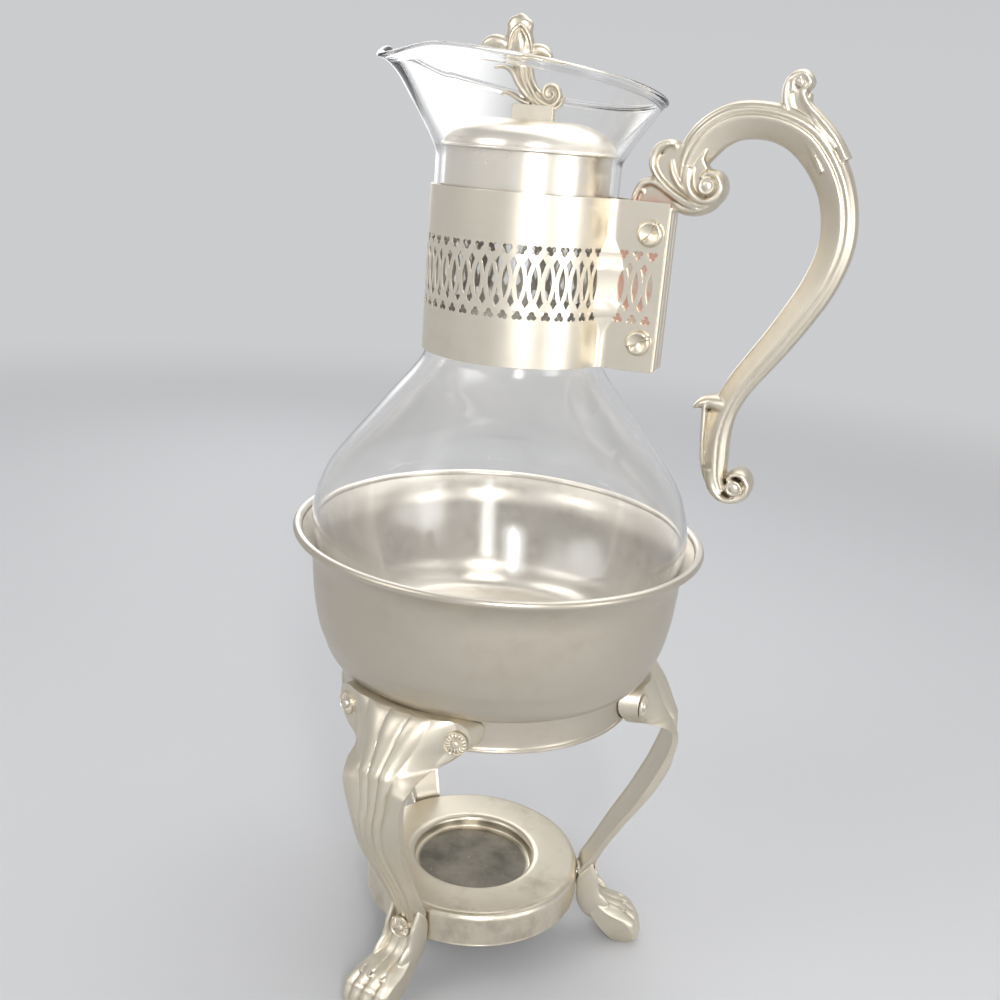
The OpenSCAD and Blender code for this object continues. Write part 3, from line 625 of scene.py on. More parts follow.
def makeGlassCarafe(look):
    side = glassSide(look)
    inner = [(max(r, 0.0), z) for r, z in shifted(side, look["wall"])]
    side = [(max(r, 0.0), z) for r, z in side]
    flare = [(k / 30) ** 0.85 for k in range(28)] + list(np.linspace(look["beadFrom"], 1, 10))
    rings = []
    for step in range(look["steps"]):
        angle = 360 * step / look["steps"]
        c, s = heading(angle)
        outer = [mouthPoint(look, angle, t, 0) for t in flare]
        inside = [mouthPoint(look, angle, t, 1) for t in flare]
        outEdge, inEdge = np.array(outer[-1]), np.array(inside[-1])
        middle, across = (outEdge + inEdge) / 2, (outEdge - inEdge) / 2
        rim = [middle + across * cos(turn) + np.array([0, look["beadRise"]]) * sin(turn)
               for turn in rimTurns]
        rings.append([(r * c, r * s, z) for r, z in side + outer + rim + inside[::-1] + inner[::-1]])
    makePiece("glassCarafe", stitch(rings, closed=True), "carafe", "clear_glass", ["glass_carafe"])


makeGlassCarafe(glassLook)
print("stage: glass")

# collar

collarLook = {
    "foot": 253.0,
    "height": 58.8,
    "innerRadius": 33.6,
    "sheet": 0.9,
    "earHalf": 6.9,  # inner face of an ear from the handle's plane
    "bendRadius": 4.0,
    "earReach": 54.1,
    "columns": 39,
    "edgeAngle": 4.0,  # from the bend to the first column
    "pierceHalf": 13.0,
    "earColumns": (3.3, 8.4, 13.5),
    "screws": ((48.5, 10.5), (48.5, 48.3)),
    "screwHole": 2.3,
    "rim": 0.6,  # least metal left beside a hole
    "net": 1.3,  # size of the sheet's mesh, which keeps clear of the pierced band and the screw holes
    "bandClear": 0.8,
    "holeClear": 0.5,
    "edges": 0.14,
}
# one column's holes; a place up the column is a share of half its height
pierceLook = {
    "eyeHalf": 1.12,
    "eyeReach": 0.432,
    "kiteAside": 2.57,
    "kiteUp": 0.47,
    "kite": [(0, 2.35), (0.6, 1.35), (1.2, 0.45), (0.75, -0.6), (0.34, -1.9), (0, -3.9), (-0.34, -1.9),
             (-0.75, -0.6), (-1.2, 0.45), (-0.6, 1.35)],
    "trefoilUp": 0.86,
    "trefoil": [(-0.82, 0.5, 0.84), (0.82, 0.5, 0.84), (0, -0.85, 0.80)],  # circles
}


def lobed(lobes):  # outline round a few overlapping circles, from its own centre outwards
    outline = []
    for way in np.array(wheel(36)):
        reach = 0.0
        for x, z, radius in lobes:
            along = way @ (x, z)
            inside = radius ** 2 - (x * x + z * z - along ** 2)
            if inside > 0:
                reach = max(reach, along + sqrt(inside))
        outline.append(way * reach)
    return np.array(outline)


def pierceShapes(look, half):  # one column, from its middle: an eye, two kites and two trefoils
    eye = [(look["eyeHalf"] * sin(pi * k / 12) * side, (k / 6 - 1) * half * look["eyeReach"])
           for side, order in ((1, range(13)), (-1, range(11, 0, -1))) for k in order]
    trefoil = lobed(look["trefoil"])
    shapes = [np.array(eye)]
    for side in (1, -1):
        kite = [(look["kiteAside"] + x, side * (half * look["kiteUp"] + z)) for x, z in look["kite"]]
        shapes.append(np.array(kite)[::side])
        shapes.append(np.array([(x, side * (half * look["trefoilUp"] + z)) for x, z in trefoil])[::side])
    return shapes


def wrapCollar(look):  # lengths run along the sheet, from the middle of the band's far side
    ring, bend = look["innerRadius"] + look["sheet"] / 2, look["bendRadius"] + look["sheet"] / 2
    bendY = look["earHalf"] + look["sheet"] + look["bendRadius"]
    bendX = sqrt((ring + bend) ** 2 - bendY ** 2)
    turn = asin(bendY / (ring + bend))
    ringEnd = ring * (pi - turn)
    bendEnd = ringEnd + bend * (pi / 2 - turn)

    def wrapped(s, z, lift):  # a point of the flat sheet, wrapped round the neck
        side, s = (1, s) if s >= 0 else (-1, -s)
        if s < ringEnd:
            angle, radius = pi - s / ring, ring + lift
            x, y = radius * cos(angle), radius * sin(angle)
        elif s < bendEnd:
            angle, radius = pi + turn + (s - ringEnd) / bend, bend - lift
            x, y = bendX + radius * cos(angle), bendY + radius * sin(angle)
        else:
            x, y = bendX + s - bendEnd, look["earHalf"] + look["sheet"] / 2 + lift
        return x, side * y, z

    return wrapped, ringEnd - radians(look["edgeAngle"]) * ring, bendEnd, bendX


def withinShape(point, outline):
    x, z = point
    ahead = np.roll(outline, -1, axis=0)
    crossing = (outline[:, 1] > z) != (ahead[:, 1] > z)
    with np.errstate(divide="ignore", invalid="ignore"):
        share = (z - outline[:, 1]) / (ahead[:, 1] - outline[:, 1])
        reach = outline[:, 0] + share * (ahead[:, 0] - outline[:, 0])
    return bool(np.count_nonzero(crossing & (x < reach)) % 2)


def pierced(frameLine, holes, inner):  # the flat sheet as triangles, without those in the holes
    points, edges = [], []
    for outline in [frameLine] + holes:
        start, size = len(points), len(outline)
        points += [Vector(p) for p in outline]
        edges += [(start + k, start + (k + 1) % size) for k in range(size)]
    points += [Vector(p) for p in inner]
    flat = delaunay_2d_cdt(points, edges, [], 0, 1e-5)
    places = np.array([tuple(p) for p in flat[0]])
    kept = [tuple(t) for t in flat[2] if len(t) == 3]
    centres = np.array([places[list(t)].mean(axis=0) for t in kept])
    inside = np.zeros(len(kept), bool)
    for hole in holes:
        near = np.all(np.abs(centres - hole.mean(axis=0)) < np.ptp(hole, axis=0), axis=1)
        for k in np.flatnonzero(near & ~inside):
            inside[k] = withinShape(centres[k], hole)
    return places, [t for t, gone in zip(kept, inside) if not gone]


def makeCollar(look):
    wrapped, spread, bendEnd, bendX = wrapCollar(look)
    end = bendEnd + look["earReach"] - bendX
    foot, top = look["foot"], look["foot"] + look["height"]
    middle = (foot + top) / 2
    columns = [-spread + 2 * spread * k / (look["columns"] - 1) for k in range(look["columns"])]
    column = pierceShapes(pierceLook, look["pierceHalf"])
    holes = [shape + (s, middle) for s in columns for shape in column]
    screws = []
    for side in (1, -1):
        holes += [shape * (side, 1) + (side * (bendEnd + x), middle)
                  for x in look["earColumns"] for shape in column]
        places = [(side * (bendEnd + x - bendX), foot + z) for x, z in look["screws"]]
        holes += [circle(s, z, look["screwHole"], 24) for s, z in places]
        screws += places
    holes = [hole for hole in holes if abs(hole[:, 0]).max() < end - look["rim"]]
    across = np.linspace(-end, end, int(2 * end / look["net"]) + 1)
    up = np.linspace(foot, top, int(look["height"] / look["net"] / 2) + 1)
    frameLine = [(s, foot) for s in across] + [(end, z) for z in up[1:-1]]
    frameLine += [(s, top) for s in across[::-1]] + [(-end, z) for z in up[-2:0:-1]]
    rows = [z for z in up[1:-1] if abs(z - middle) > look["pierceHalf"] + look["bandClear"]]
    inner = [(s, z) for z in rows for s in across[1:-1]
             if all(hypot(s - p, z - q) > look["screwHole"] + look["holeClear"] for p, q in screws)]
    places, kept = pierced(frameLine, holes, inner)
    count, half = len(places), look["sheet"] / 2
    skin = [wrapped(s, z, lift) for lift in (half, -half) for s, z in places]
    faces = kept + [(a + count, c + count, b + count) for a, b, c in kept]
    sides = dict.fromkeys((a, b) for t in kept for a, b in zip(t, t[1:] + t[:1]))
    faces += [(b, a, a + count, b + count) for a, b in sides if (b, a) not in sides]
    soften(makePiece("piercedCollar", (skin, faces), "carafe", "band_plate", ["collar_band"]), look["edges"])


makeCollar(collarLook)
print("stage: collar")

# stand

bowlLook = {"heatRadius": 38.0, "footRadius": 58.4, "rimRadius": 80.0, "sheet": 1.2, "floor": 129.4,
            "bead": 1.65, "beadUp": 53.3, "curl": 0.72}


def makeBowl(look):
    foot, rim, floor = look["footRadius"], look["rimRadius"], look["floor"]
    lip = rim - look["bead"] - 1
    side = smoothLine([
        (look["heatRadius"], 0), (foot - 6, 0), (foot, 0.1), (foot + 2.6, 0.9), (foot + 5, 2.6),
        (foot + 7.2, 5.8), (rim - 12.6, 10.6), (rim - 10.8, 15.6), (rim - 8.9, 25.6), (rim - 8, 35.6),
        (rim - 7.5, 42.6), (rim - 5.9, 47.4), (lip, 52.2)], 6) + (0, floor)
    shell = np.vstack([side, shifted(side, look["sheet"])[::-1]])
    bead = circle(rim - look["bead"], floor + look["beadUp"], look["bead"], 24)
    curl = circle(look["heatRadius"], floor + look["sheet"] / 2, look["curl"])
    outer = smoothLine([(foot, 0.3), (foot - 0.2, -5), (foot, -10.6), (foot + 0.8, -11.8),
                        (foot + 0.8, -12.6)], 4) + (0, floor)
    ring = np.vstack([outer, [(foot - look["sheet"], z) for r, z in outer[::-1]]])
    outlines = [shell, bead, curl, ring]
    makeSpun("warmerBowl", outlines, 192, "warmer_stand", "bowl_plate", ["warmer_bowl"], sharp=50)


trayLook = {"radius": 45.0, "foot": 22.5, "height": 13.9, "sheet": 1.0, "recess": 25.05, "depth": 5.3,
            "edge": 3.0, "recessLip": 3.3, "lipDrop": 2.2, "corner": 0.8, "hem": 0.6}


def makeTray(look):
    radius, sheet, edge, recess = (look[key] for key in ("radius", "sheet", "edge", "recess"))
    lip, drop, corner, foot = (look[key] for key in ("recessLip", "lipDrop", "corner", "foot"))
    top = foot + look["height"]
    floor = top - look["depth"]
    outer = np.vstack([[(radius, foot)], arc(radius - edge, top - edge, edge, edge, 0, 90, 12),
                       arc(recess + lip, top - drop, lip, drop, 90, 180, 12),
                       arc(recess - corner, floor + corner, corner, corner, 0, -90, 5),
                       [(14, floor - 0.15), (0, floor - 0.2)]])
    inner = np.vstack([[(radius - sheet, foot)],
                       arc(radius - edge, top - edge, edge - sheet, edge - sheet, 0, 90, 8),
                       [(recess + lip, top - sheet), (recess + sheet, top - drop - sheet),
                        (recess + sheet, floor - sheet), (0, floor - sheet)]])
    hem = circle(radius - sheet / 2, foot, sheet * look["hem"])
    shell = np.vstack([outer, inner[::-1]])
    makeSpun("candleTray", [shell, hem], 160, "warmer_stand", "tray_plate", ["candle_tray"], sharp=60)


makeBowl(bowlLook)
makeTray(trayLook)
print("stage: bowl and tray")

# lid

lidLook = {"radius": 32.0, "edge": 325.0, "height": 11.4, "sheet": 0.8, "roll": 0.7, "sleeveRadius": 29.8,
           "sleeve": 28.0, "hem": 0.75}


def makeLid(look):
    radius, edge, sheet, roll = look["radius"], look["edge"], look["sheet"], look["roll"]
    dome = smoothLine([
        (radius - roll, 0.6), (radius - 1.3, 1.8), (radius - 2, 3.8), (radius - 4, 6.4), (radius - 8, 8.8),
        (radius - 14, 10.6), (radius - 21, look["height"] - 0.5), (radius - 27, look["height"] - 0.1),
        (0, look["height"])], 6) + (0, edge)
    shell = np.vstack([dome, shifted(dome, sheet)[::-1]])
    rolled = circle(radius - roll, edge + roll, roll)
    makeSpun("lidDome", [shell, rolled], 144, "lid", "lid_plate", ["lid_cap"], sharp=60)
    bore, low, high = look["sleeveRadius"], edge - look["sleeve"], edge + 1.2
    wall = [(bore, low), (bore, high), (bore - sheet, high), (bore - sheet, low)]
    hem = circle(bore - sheet / 2, low, sheet * look["hem"])
    makeSpun("lidSleeve", [wall, hem], 144, "lid", "lid_plate", ["lid_sleeve"], sharp=40)


makeLid(lidLook)
print("stage: lid")

# handle

# half of a strand's section: from its inner side (-1) to its outer side (1), and how wide it is there
gripSection = [(-1, 0), (-0.985, 0.2), (-0.9, 0.4), (-0.62, 0.6), (-0.3, 0.8), (-0.08, 0.93),
    (0.04, 0.985), (0.13, 1), (0.2, 0.975), (0.25, 0.9), (0.29, 0.875), (0.34, 0.905), (0.44, 0.955),
    (0.55, 0.94), (0.63, 0.87), (0.68, 0.8), (0.74, 0.8), (0.84, 0.74), (0.94, 0.52), (0.99, 0.25),
    (1, 0)]
roundSection = [(-cos(radians(a)), sin(radians(a)) ** 0.8) for a in range(0, 181, 12)]
ribSection = [(-1, 0), (-0.98, 0.5), (-0.86, 0.86), (-0.7, 0.97), (-0.55, 0.93), (-0.3, 0.8), (0, 0.74),
    (0.3, 0.8), (0.55, 0.93), (0.7, 0.97), (0.86, 0.86), (0.98, 0.5), (1, 0)]


def strand(line, section, steps=6):  # points of [x, height, thickness, half width]
    path = smoothLine(line, steps)
    loop = list(section) + [(n, -w) for n, w in section[-2:0:-1]]
    rings = []
    for (x, z, thick, wide), (wayX, wayZ) in zip(path, course(path[:, :2])):
        rings.append([(x - wayZ * n * thick / 2, w * wide, z + wayX * n * thick / 2) for n, w in loop])
    return stitch(rings)


def snail(x, z, radius, wide):  # a domed disc across the handle
    outline = [(0, wide), (0.3, wide), (0.45, wide - 0.25), (0.6, wide - 0.5), (0.72, wide - 0.25),
               (0.86, wide), (0.97, wide - 0.8), (1, wide - 2.0)]
    profile = [(r * radius, w) for r, w in outline] + [(r * radius, -w) for r, w in outline[::-1]]
    return laid(spun(profile, 48), x, z)


def slab(outline, half):  # an outline in the handle's plane, with its thickness across it
    return stitch([[(x, -half, z) for x, z in outline], [(x, half, z) for x, z in outline]])


handleLook = {
    "voxel": 0.34,
    "smoothing": 3,
    "rootHalf": 5.0,
    # [distance from the axis, height, radius, half width]
    "snails": [(65.3, 318.4, 2.9, 7.0), (88.2, 215.6, 3.0, 6.1), (91.2, 353.0, 1.6, 5.2)],
    "barInner": 37.3,
    "barOuter": 54.6,
    "barHalf": 6.9,
    "barFoot": 253.5,
    "barTop": 310.3,
    # half of the bar's outer face, with a groove: how deep it lies, and its distance from the handle's plane
    "barFace": [(0.5, 6.9), (0, 6.4), (0, 3.1), (0.35, 2.9), (0.35, 2.5), (0, 2.3)],
}
# [distance from the axis, height, thickness, half width]
gripPath = [(57.6, 319.5, 6.4, 5.6), (58.3, 325, 9.8, 6.1), (61, 331, 12.4, 6.5),
    (65.6, 336.3, 12.8, 6.6), (72, 339.9, 12.8, 6.6), (80.2, 340.8, 12.4, 6.6), (88.6, 339.4, 12.6, 6.6),
    (96.6, 335.2, 13.4, 6.6), (103.3, 327.6, 13, 6.6), (107.8, 319, 12.4, 6.5), (110, 309, 12.3, 6.4),
    (109.6, 299.6, 12.2, 6.3), (106.4, 289, 11.9, 6.1), (101.4, 279, 11.4, 5.9), (95.6, 269, 10.8, 5.7),
    (89.8, 260, 10.2, 5.5), (84.6, 251.6, 9.6, 5.4), (81, 243, 9.2, 5.4), (79.2, 234, 10.2, 5.5),
    (79.3, 225, 10.4, 5.6), (80.7, 217.4, 8.2, 5.6), (83.4, 212.8, 5.6, 5.4)]
thumbLeaf = [(105.6, 328, 12, 6.4), (101.4, 334.4, 11.6, 6.3), (96.4, 339.6, 11, 6),
    (92, 344.2, 9.8, 5.7), (89.8, 348.6, 8.8, 5.4), (90, 352.8, 8.2, 5.1), (91.6, 355.2, 4.6, 4.6)]
gripLines = {
    "curl": [(58.4, 324, 6.4, 6.2), (58.6, 319.4, 5, 6.7), (60.6, 315.4, 4.4, 7),
        (64.6, 313.3, 4.2, 7.2), (68.4, 314.6, 4.4, 7.3), (70, 318.2, 4.2, 7.3), (68.4, 321.8, 3.8, 7.2),
        (65.2, 322.6, 3, 7), (63.2, 320.8, 2.2, 6.9)],
    "upperHook": [(53, 329, 1.6, 5), (52.9, 331, 2.6, 6), (50.4, 331.2, 3.6, 6.5),
        (47.6, 329.6, 4.2, 6.7), (46.1, 326.6, 4, 6.7), (46.2, 323.4, 3.6, 6.7), (48.2, 320.2, 3.4, 6.6),
        (51.6, 317, 3.2, 6.6), (55.8, 314.4, 3, 6.6), (60.4, 312.4, 2.8, 6.6), (65.2, 311.8, 2.6, 6.5),
        (69.4, 313.6, 1.8, 6.3)],
    "middleRib": [(52.4, 325.6, 1.6, 5.6), (53.2, 322.2, 3, 6.2), (55.4, 318.6, 3.2, 6.3),
        (58.8, 315.8, 2.6, 6.3), (62.4, 313.9, 2, 6.4), (66.6, 313.4, 1.4, 6.3)],
    "lowerHook": [(43.9, 313.4, 1.2, 5), (43.6, 315.2, 1.6, 5.8), (41.9, 315.6, 2.6, 6.2),
        (41.2, 312.6, 2.6, 6.2)],
    "lowerLeaf": [(40.9, 309, 3, 6.4), (41.3, 313.6, 3.6, 6.5), (43.3, 317.4, 3.9, 6.6),
        (46.8, 318.3, 3.8, 6.6), (50.4, 316.6, 3.3, 6.6), (54.6, 314, 2.8, 6.5), (59, 311.8, 2.4, 6.4),
        (64, 310.4, 2, 6.3)],
    "underRoll": [(54.2, 312.4, 3, 5), (57.6, 310.4, 4, 5.6), (62.4, 310.2, 4.2, 6), (67, 312.4, 4, 6.3),
        (70.4, 316.6, 3, 6.6)],
    "thumbCurl": [(88.6, 350, 4, 4.8), (88.8, 354.2, 4.2, 5.2), (91.8, 355.6, 3.6, 5.4),
        (94, 353.4, 3.4, 5.4), (92.8, 351.2, 2.4, 5.2)],
    "outerLeaf": [(105, 333.6, 6.4, 6.2), (100.8, 337.8, 5, 5.9), (97, 342, 3.8, 5.5),
        (94.6, 346.6, 2.6, 5), (94.6, 350, 1.6, 4.4)],
    "innerThorn": [(83, 243, 7.6, 5), (79, 244.6, 6.4, 5), (75.4, 245, 5, 5), (72.4, 243.9, 3.8, 4.6),
        (69.7, 242.3, 1.2, 3.4)],
    "innerThornEdge": [(75.9, 246.4, 1.4, 4.6), (74.2, 244, 2.2, 5.2), (74.4, 238, 2.6, 5.4),
        (74.9, 230, 2.2, 5.2), (76, 222, 1.2, 4.8)],
    "outerThorn": [(91.6, 262.4, 6, 4.4), (94.4, 263.2, 4.6, 4.4), (96.4, 264.6, 3, 4),
        (97.7, 266.6, 1, 3)],
    "footCurl": [(79.4, 221, 6.6, 5.5), (80.6, 214.8, 5.2, 5.8), (84, 211.2, 3.8, 6.2),
        (88.2, 211, 3.6, 6.4), (91.8, 213.2, 3.6, 6.4), (92.8, 217.2, 3.6, 6.4), (90.6, 220.4, 3.4, 6.2),
        (87.2, 220.3, 2.6, 6), (85.6, 217.8, 2, 5.9)],
}
# [distance from the axis, height]
rootBody = [(42, 309), (42.2, 315), (46, 319.5), (47.5, 326), (51, 330), (56, 331.5), (62, 329),
    (66, 322), (68.5, 317), (66, 312), (60, 310), (55, 309)]
rootBack = [(51.5, 326.5), (60, 334), (64, 330), (60, 318)]


def makeHandle(look):
    shapes = [strand(gripPath, gripSection, 8)]
    shapes += [strand(line, roundSection) for line in gripLines.values()]
    shapes += [strand(thumbLeaf, ribSection)]
    shapes += [slab(outline, look["rootHalf"]) for outline in (rootBody, rootBack)]
    shapes += [snail(*place) for place in look["snails"]]
    skin = cast("scrollGrip", shapes, look["voxel"], look["smoothing"])
    addPiece("scrollGrip", skin, "carafe", "cast_plate", ["handle"])
    inner, outer, half = look["barInner"], look["barOuter"], look["barHalf"]
    face = [(outer - x, y) for x, y in look["barFace"]]
    section = [(inner, half)] + face + [(x, -y) for x, y in face[::-1]] + [(inner, -half)]
    rings = [[(x, y, z) for x, y in section] for z in np.linspace(look["barFoot"], look["barTop"], 40)]
    makePiece("clampBar", stitch(rings), "carafe", "cast_plate", sharp=35)


makeHandle(handleLook)
print("stage: handle")

screwLook = {
    "radius": 4.7,
    "height": 2.6,
    # the head's face: share of its radius, share of its height and how much lower
    "face": [(0, 1, 0.35), (0.6, 1, 0.4), (0.66, 1, 0.1), (0.7, 1, 0), (0.8, 0.97, 0), (0.92, 0.72, 0),
             (0.99, 0.4, 0), (1, 0, -0.02)],
    "slot": 1.1,
    "slotDepth": 1.2,
    "shank": 2.1,
    "shankEnd": 12.2,  # from the handle's plane, as the seat on the other side
    "seat": 7.8,
    "place": 48.5,  # from the axis
    "heights": (263.5, 301.3),
    "turns": (32, 57),
}


def screwHead(look):  # a domed head with a slot along x, which looks along z
    half, rings = look["slot"] / 2, []
    for share, up, lower in look["face"]:
        r, h = share * look["radius"], up * look["height"] - lower
        deep = [look["slotDepth"] * (1 - ramp(abs(r * s), half * 0.75, half * 1.15)) for c, s in wheel(72)]
        rings.append([(r * c, r * s, max(h - d, 0.02)) for (c, s), d in zip(wheel(72), deep)])
    return stitch(rings)


def makeClampScrews(look):
    points, faces = screwHead(look)
    seat, end = look["seat"], look["shankEnd"]
    shaft = spun([(look["shank"], -seat - 0.5), (look["shank"], end), (0, end + 0.4), (0, -seat - 0.5)], 32)
    shapes = []
    for z, turn in zip(look["heights"], look["turns"]):
        c, s = heading(turn)
        turned = [(x * c - y * s, x * s + y * c, -seat - h) for x, y, h in points]
        shapes += [laid(shape, look["place"], z) for shape in ((turned, faces), shaft)]
    makePiece("clampScrews", joined(shapes), "carafe", "screw_metal", ["clamp_screws"], sharp=40)


makeClampScrews(screwLook)
print("stage: screws")

# legs

legLook = {
    "angles": {"right": 18, "front": -102, "back": 138},
    "skews": {"front": -0.17},  # how far a casting stands askew, for its distance from skewFrom
    "skewFrom": 54,
    "sways": {"front": 6.0},  # how far its shank is carried to one side
    "wingRadius": 65.4,
    "rib": 1.25,
    "ribRise": (24, 40),  # heights between which the ribs begin
    "ribDeepen": (50, 100),  # and deepen, while the sway sets in
    "ribNarrow": (46, 92),
    "spread": (104, 119),  # heights between which the shank turns into the wings
    "seating": (106, 114),  # and its inner face takes the bowl's curve
    "across": 132,  # points across the outer face
    "steps": 7,
    "edge": 2.3,  # thickness left at its sides
    "voxel": 0.32,
}
# up the leg: [outer face, height, inner face, half width, half width of the fan, and of the ribs]
legLine = [(53.2, 22, 47.4, 5.6, 5.6, 3.3), (52.2, 26, 46.6, 5.8, 5.8, 3.3),
    (52.1, 31, 46.2, 6.2, 6.2, 3.3), (52.7, 35.4, 46.4, 6.5, 6.5, 3.4), (54.6, 40, 49, 7, 7, 3.5),
    (57, 46, 52.2, 7.7, 7.7, 3.6), (60.6, 53, 55.8, 8.5, 8.5, 3.8), (65.4, 61, 60.2, 9.3, 9.3, 4),
    (70, 68, 64.2, 10, 10, 4.2), (74.2, 75, 67.6, 10.6, 10.6, 4.4), (77.4, 82, 70.8, 11.1, 11.1, 4.6),
    (79.6, 89.5, 73.6, 11.7, 11.7, 4.9), (79.5, 96.5, 75.8, 12.4, 12.4, 5.3),
    (79.5, 103, 76.4, 13.6, 13.4, 5.9), (79.4, 107, 75.2, 15, 14.4, 6.7),
    (79.6, 109.6, 72.6, 16.2, 15.4, 7.3), (79, 111.4, 66, 17.4, 16.2, 7.7), (78.2, 113, 59.8, 20, 17, 8),
    (76.4, 117, 59.4, 25.4, 19, 9.4), (74.8, 120.6, 58.9, 29, 20.4, 10.6),
    (73, 124.4, 58.6, 30.2, 21.6, 11.8), (70.6, 128, 58.8, 29.4, 22.4, 12.6),
    (68.6, 130, 60.8, 27.2, 22.6, 13), (66.8, 131, 61.9, 24, 22.6, 13.2)]
# round the paw and up the instep: [outer face, its height, inner face, its height, half width]
footLine = [(72.5, 0, 66.5, 0, 7), (75.2, 3.6, 63.4, 1.6, 9.2), (74.8, 8.4, 60, 4.6, 10.2),
    (71.6, 13, 56.6, 8.2, 10.2), (66.4, 16.4, 53.4, 12, 9.5), (61, 18.2, 51, 15.8, 8.5),
    (56.8, 20.4, 48, 20, 7.6), (54, 24.4, 45.8, 24.4, 7), (53, 28, 45.5, 28, 6.8),
    (52.8, 31.2, 45.5, 31.2, 6.8)]
footHorn = [(58.4, 11.5, 5, 0.5), (56.2, 14.4, 10, 1.2), (54.2, 17, 11.8, 1.6), (51.2, 21, 11, 1.7),
    (50, 26, 9.6, 1.6), (49.8, 30.6, 9, 1.4), (50.2, 34, 5.6, 1.2), (50.6, 36.4, 2.6, 0.9),
    (50.8, 38, 0.8, 0.5)]
footLook = {
    "paw": (14, 17.5),  # heights between which the paw ends
    "instep": (14, 16, 27, 31),  # and between which the instep's tendons begin and end
    "hornAside": 6.1,
    "knuckles": [(-4.6, 66.6, 15.0), (0, 67.6, 15.6), (4.6, 66.6, 15.0)],  # across, outwards and up
    "knuckle": 0.55,
    "toes": (-7.0, -2.4, 2.4, 7.0),
    "toeJoint": 2.9,
    "toeEnd": 2.6,
}


def legRing(look, level, sway):  # sway carries the shank to one side, not the ends of the wings
    outer, z, inner, wide, fan, ribs = level
    keys = ("ribRise", "ribDeepen", "ribNarrow", "spread", "seating")
    risen, deep, narrow, wing, seat = (ramp(z, *look[key]) for key in keys)
    thick, aside = outer - inner, sway * deep
    depth = look["rib"] * (0.62 + 0.38 * deep) * risen

    def swayed(y):
        return y + aside * (1 - wing * (y / wide) ** 2)

    ring = []
    for k in range(look["across"] + 1):
        u = 2 * k / look["across"] - 1
        y = wide * u * (1 - 0.04 * u * u)
        e, v = min(abs(y) / fan, 1), abs(y) / ribs
        if v < 1:
            rise = abs(cos(1.5 * pi * v)) ** (1.5 - 0.95 * narrow)
        else:
            rise = 1 - (1 - min((v - 1) / 0.75, 1)) ** 2.4
        flute = depth * (rise - 1)
        rounding = max(thick - look["edge"], 0) * (abs(y) / wide) ** 2.8
        shank = outer - rounding + flute
        side = sqrt(max(look["wingRadius"] ** 2 - swayed(y) ** 2, 0))
        crest = side + (outer - side) * (1 - e * e) ** 1.4 + flute * (1 - e) ** 0.5
        ring.append((shank + (crest - shank) * wing, swayed(y), z))
    for k in range(33):
        y = wide * 0.95 * (1 - k / 16)
        hollow = 0.5 * ramp(1 - abs(y) / wide, 0.08, 0.2) * (1 - seat)
        curve = sqrt(max(inner * inner - swayed(y) ** 2, 0))
        ring.append((inner + hollow + (curve - inner) * seat, swayed(y), z))
    return ring


def footRing(look, level):
    outer, outerZ, inner, innerZ, wide = level
    outer, inner = np.array([outer, outerZ]), np.array([inner, innerZ])
    thick = np.linalg.norm(outer - inner)
    way = (outer - inner) / thick
    paw = 1 - ramp(outerZ, *look["paw"])
    instep = ramp(outerZ, *look["instep"][:2]) * (1 - ramp(outerZ, *look["instep"][2:]))
    ring = []
    for k in range(97):
        u = k / 48 - 1
        ridge = abs(sin(2 * pi * u))
        toe = paw * (2.3 * (ridge ** 0.7 - 1) * (1 - 0.3 * u * u) - 2.6 * u * u)
        tendon = instep * 0.7 * (ridge ** 0.4 - 1) * (1 if abs(u) < 0.7 else 0)
        rounding = (1 - paw) * thick * 0.42 * abs(u) ** 4
        x, z = outer + way * (toe + tendon - rounding)
        ring.append((x, wide * u * (1 - 0.04 * u * u), z))
    return ring + [(inner[0], wide * 0.84 * (1 - k / 8), inner[1]) for k in range(17)]


def ball(x, y, z, radius):
    points, faces = spun(arc(0, 0, radius, radius, -90, 90, 6), 12)
    return [(px + x, py + y, pz + z) for px, py, pz in points], faces


def makeFoot(look):  # a paw, knuckles and toes on it, and two horns that hold the end of the leg
    shapes = [stitch([footRing(look, level) for level in smoothLine(footLine, 8)])]
    points, faces = strand(footHorn, roundSection)
    for side in (-1, 1):
        shapes.append(([(x, y + side * look["hornAside"], z) for x, y, z in points], faces))
    for y, x, z in look["knuckles"]:
        for c, s in map(heading, range(-20, 201, 22)):
            shapes.append(ball(x + s, y + 0.85 * c, z + 0.2 - 0.5 * s, look["knuckle"]))
    for y in look["toes"]:
        shapes.append(ball(71.0 - abs(y) * 0.22, y, 10.8 - abs(y) * 0.18, look["toeJoint"]))
        shapes.append(ball(73.6 - abs(y) * 0.3, y * 0.96, 4.4, look["toeEnd"]))
    return cast("footCast", shapes, legLook["voxel"])


def makeLegs(look):
    foot = makeFoot(footLook)
    levels = smoothLine(legLine, look["steps"])
    for side, angle in look["angles"].items():
        name, node = "leg" + side.title(), "leg_" + side
        skew, sway = look["skews"].get(side, 0), look["sways"].get(side, 0)
        shape = stitch([legRing(look, level, sway) for level in levels])
        lean = Matrix.Identity(4)
        lean[1][0], lean[1][3] = skew, -skew * look["skewFrom"] * mm
        turn = Matrix.Rotation(radians(angle), 4, "Z") @ lean
        makePiece(name, shape, "warmer_stand", "leg_plate", [node], sharp=42).data.transform(turn)
        turned = foot.copy()
        turned.transform(turn)
        addPiece(name + "Foot", turned, "warmer_stand", "leg_plate", [node])


makeLegs(legLook)
print("stage: legs")

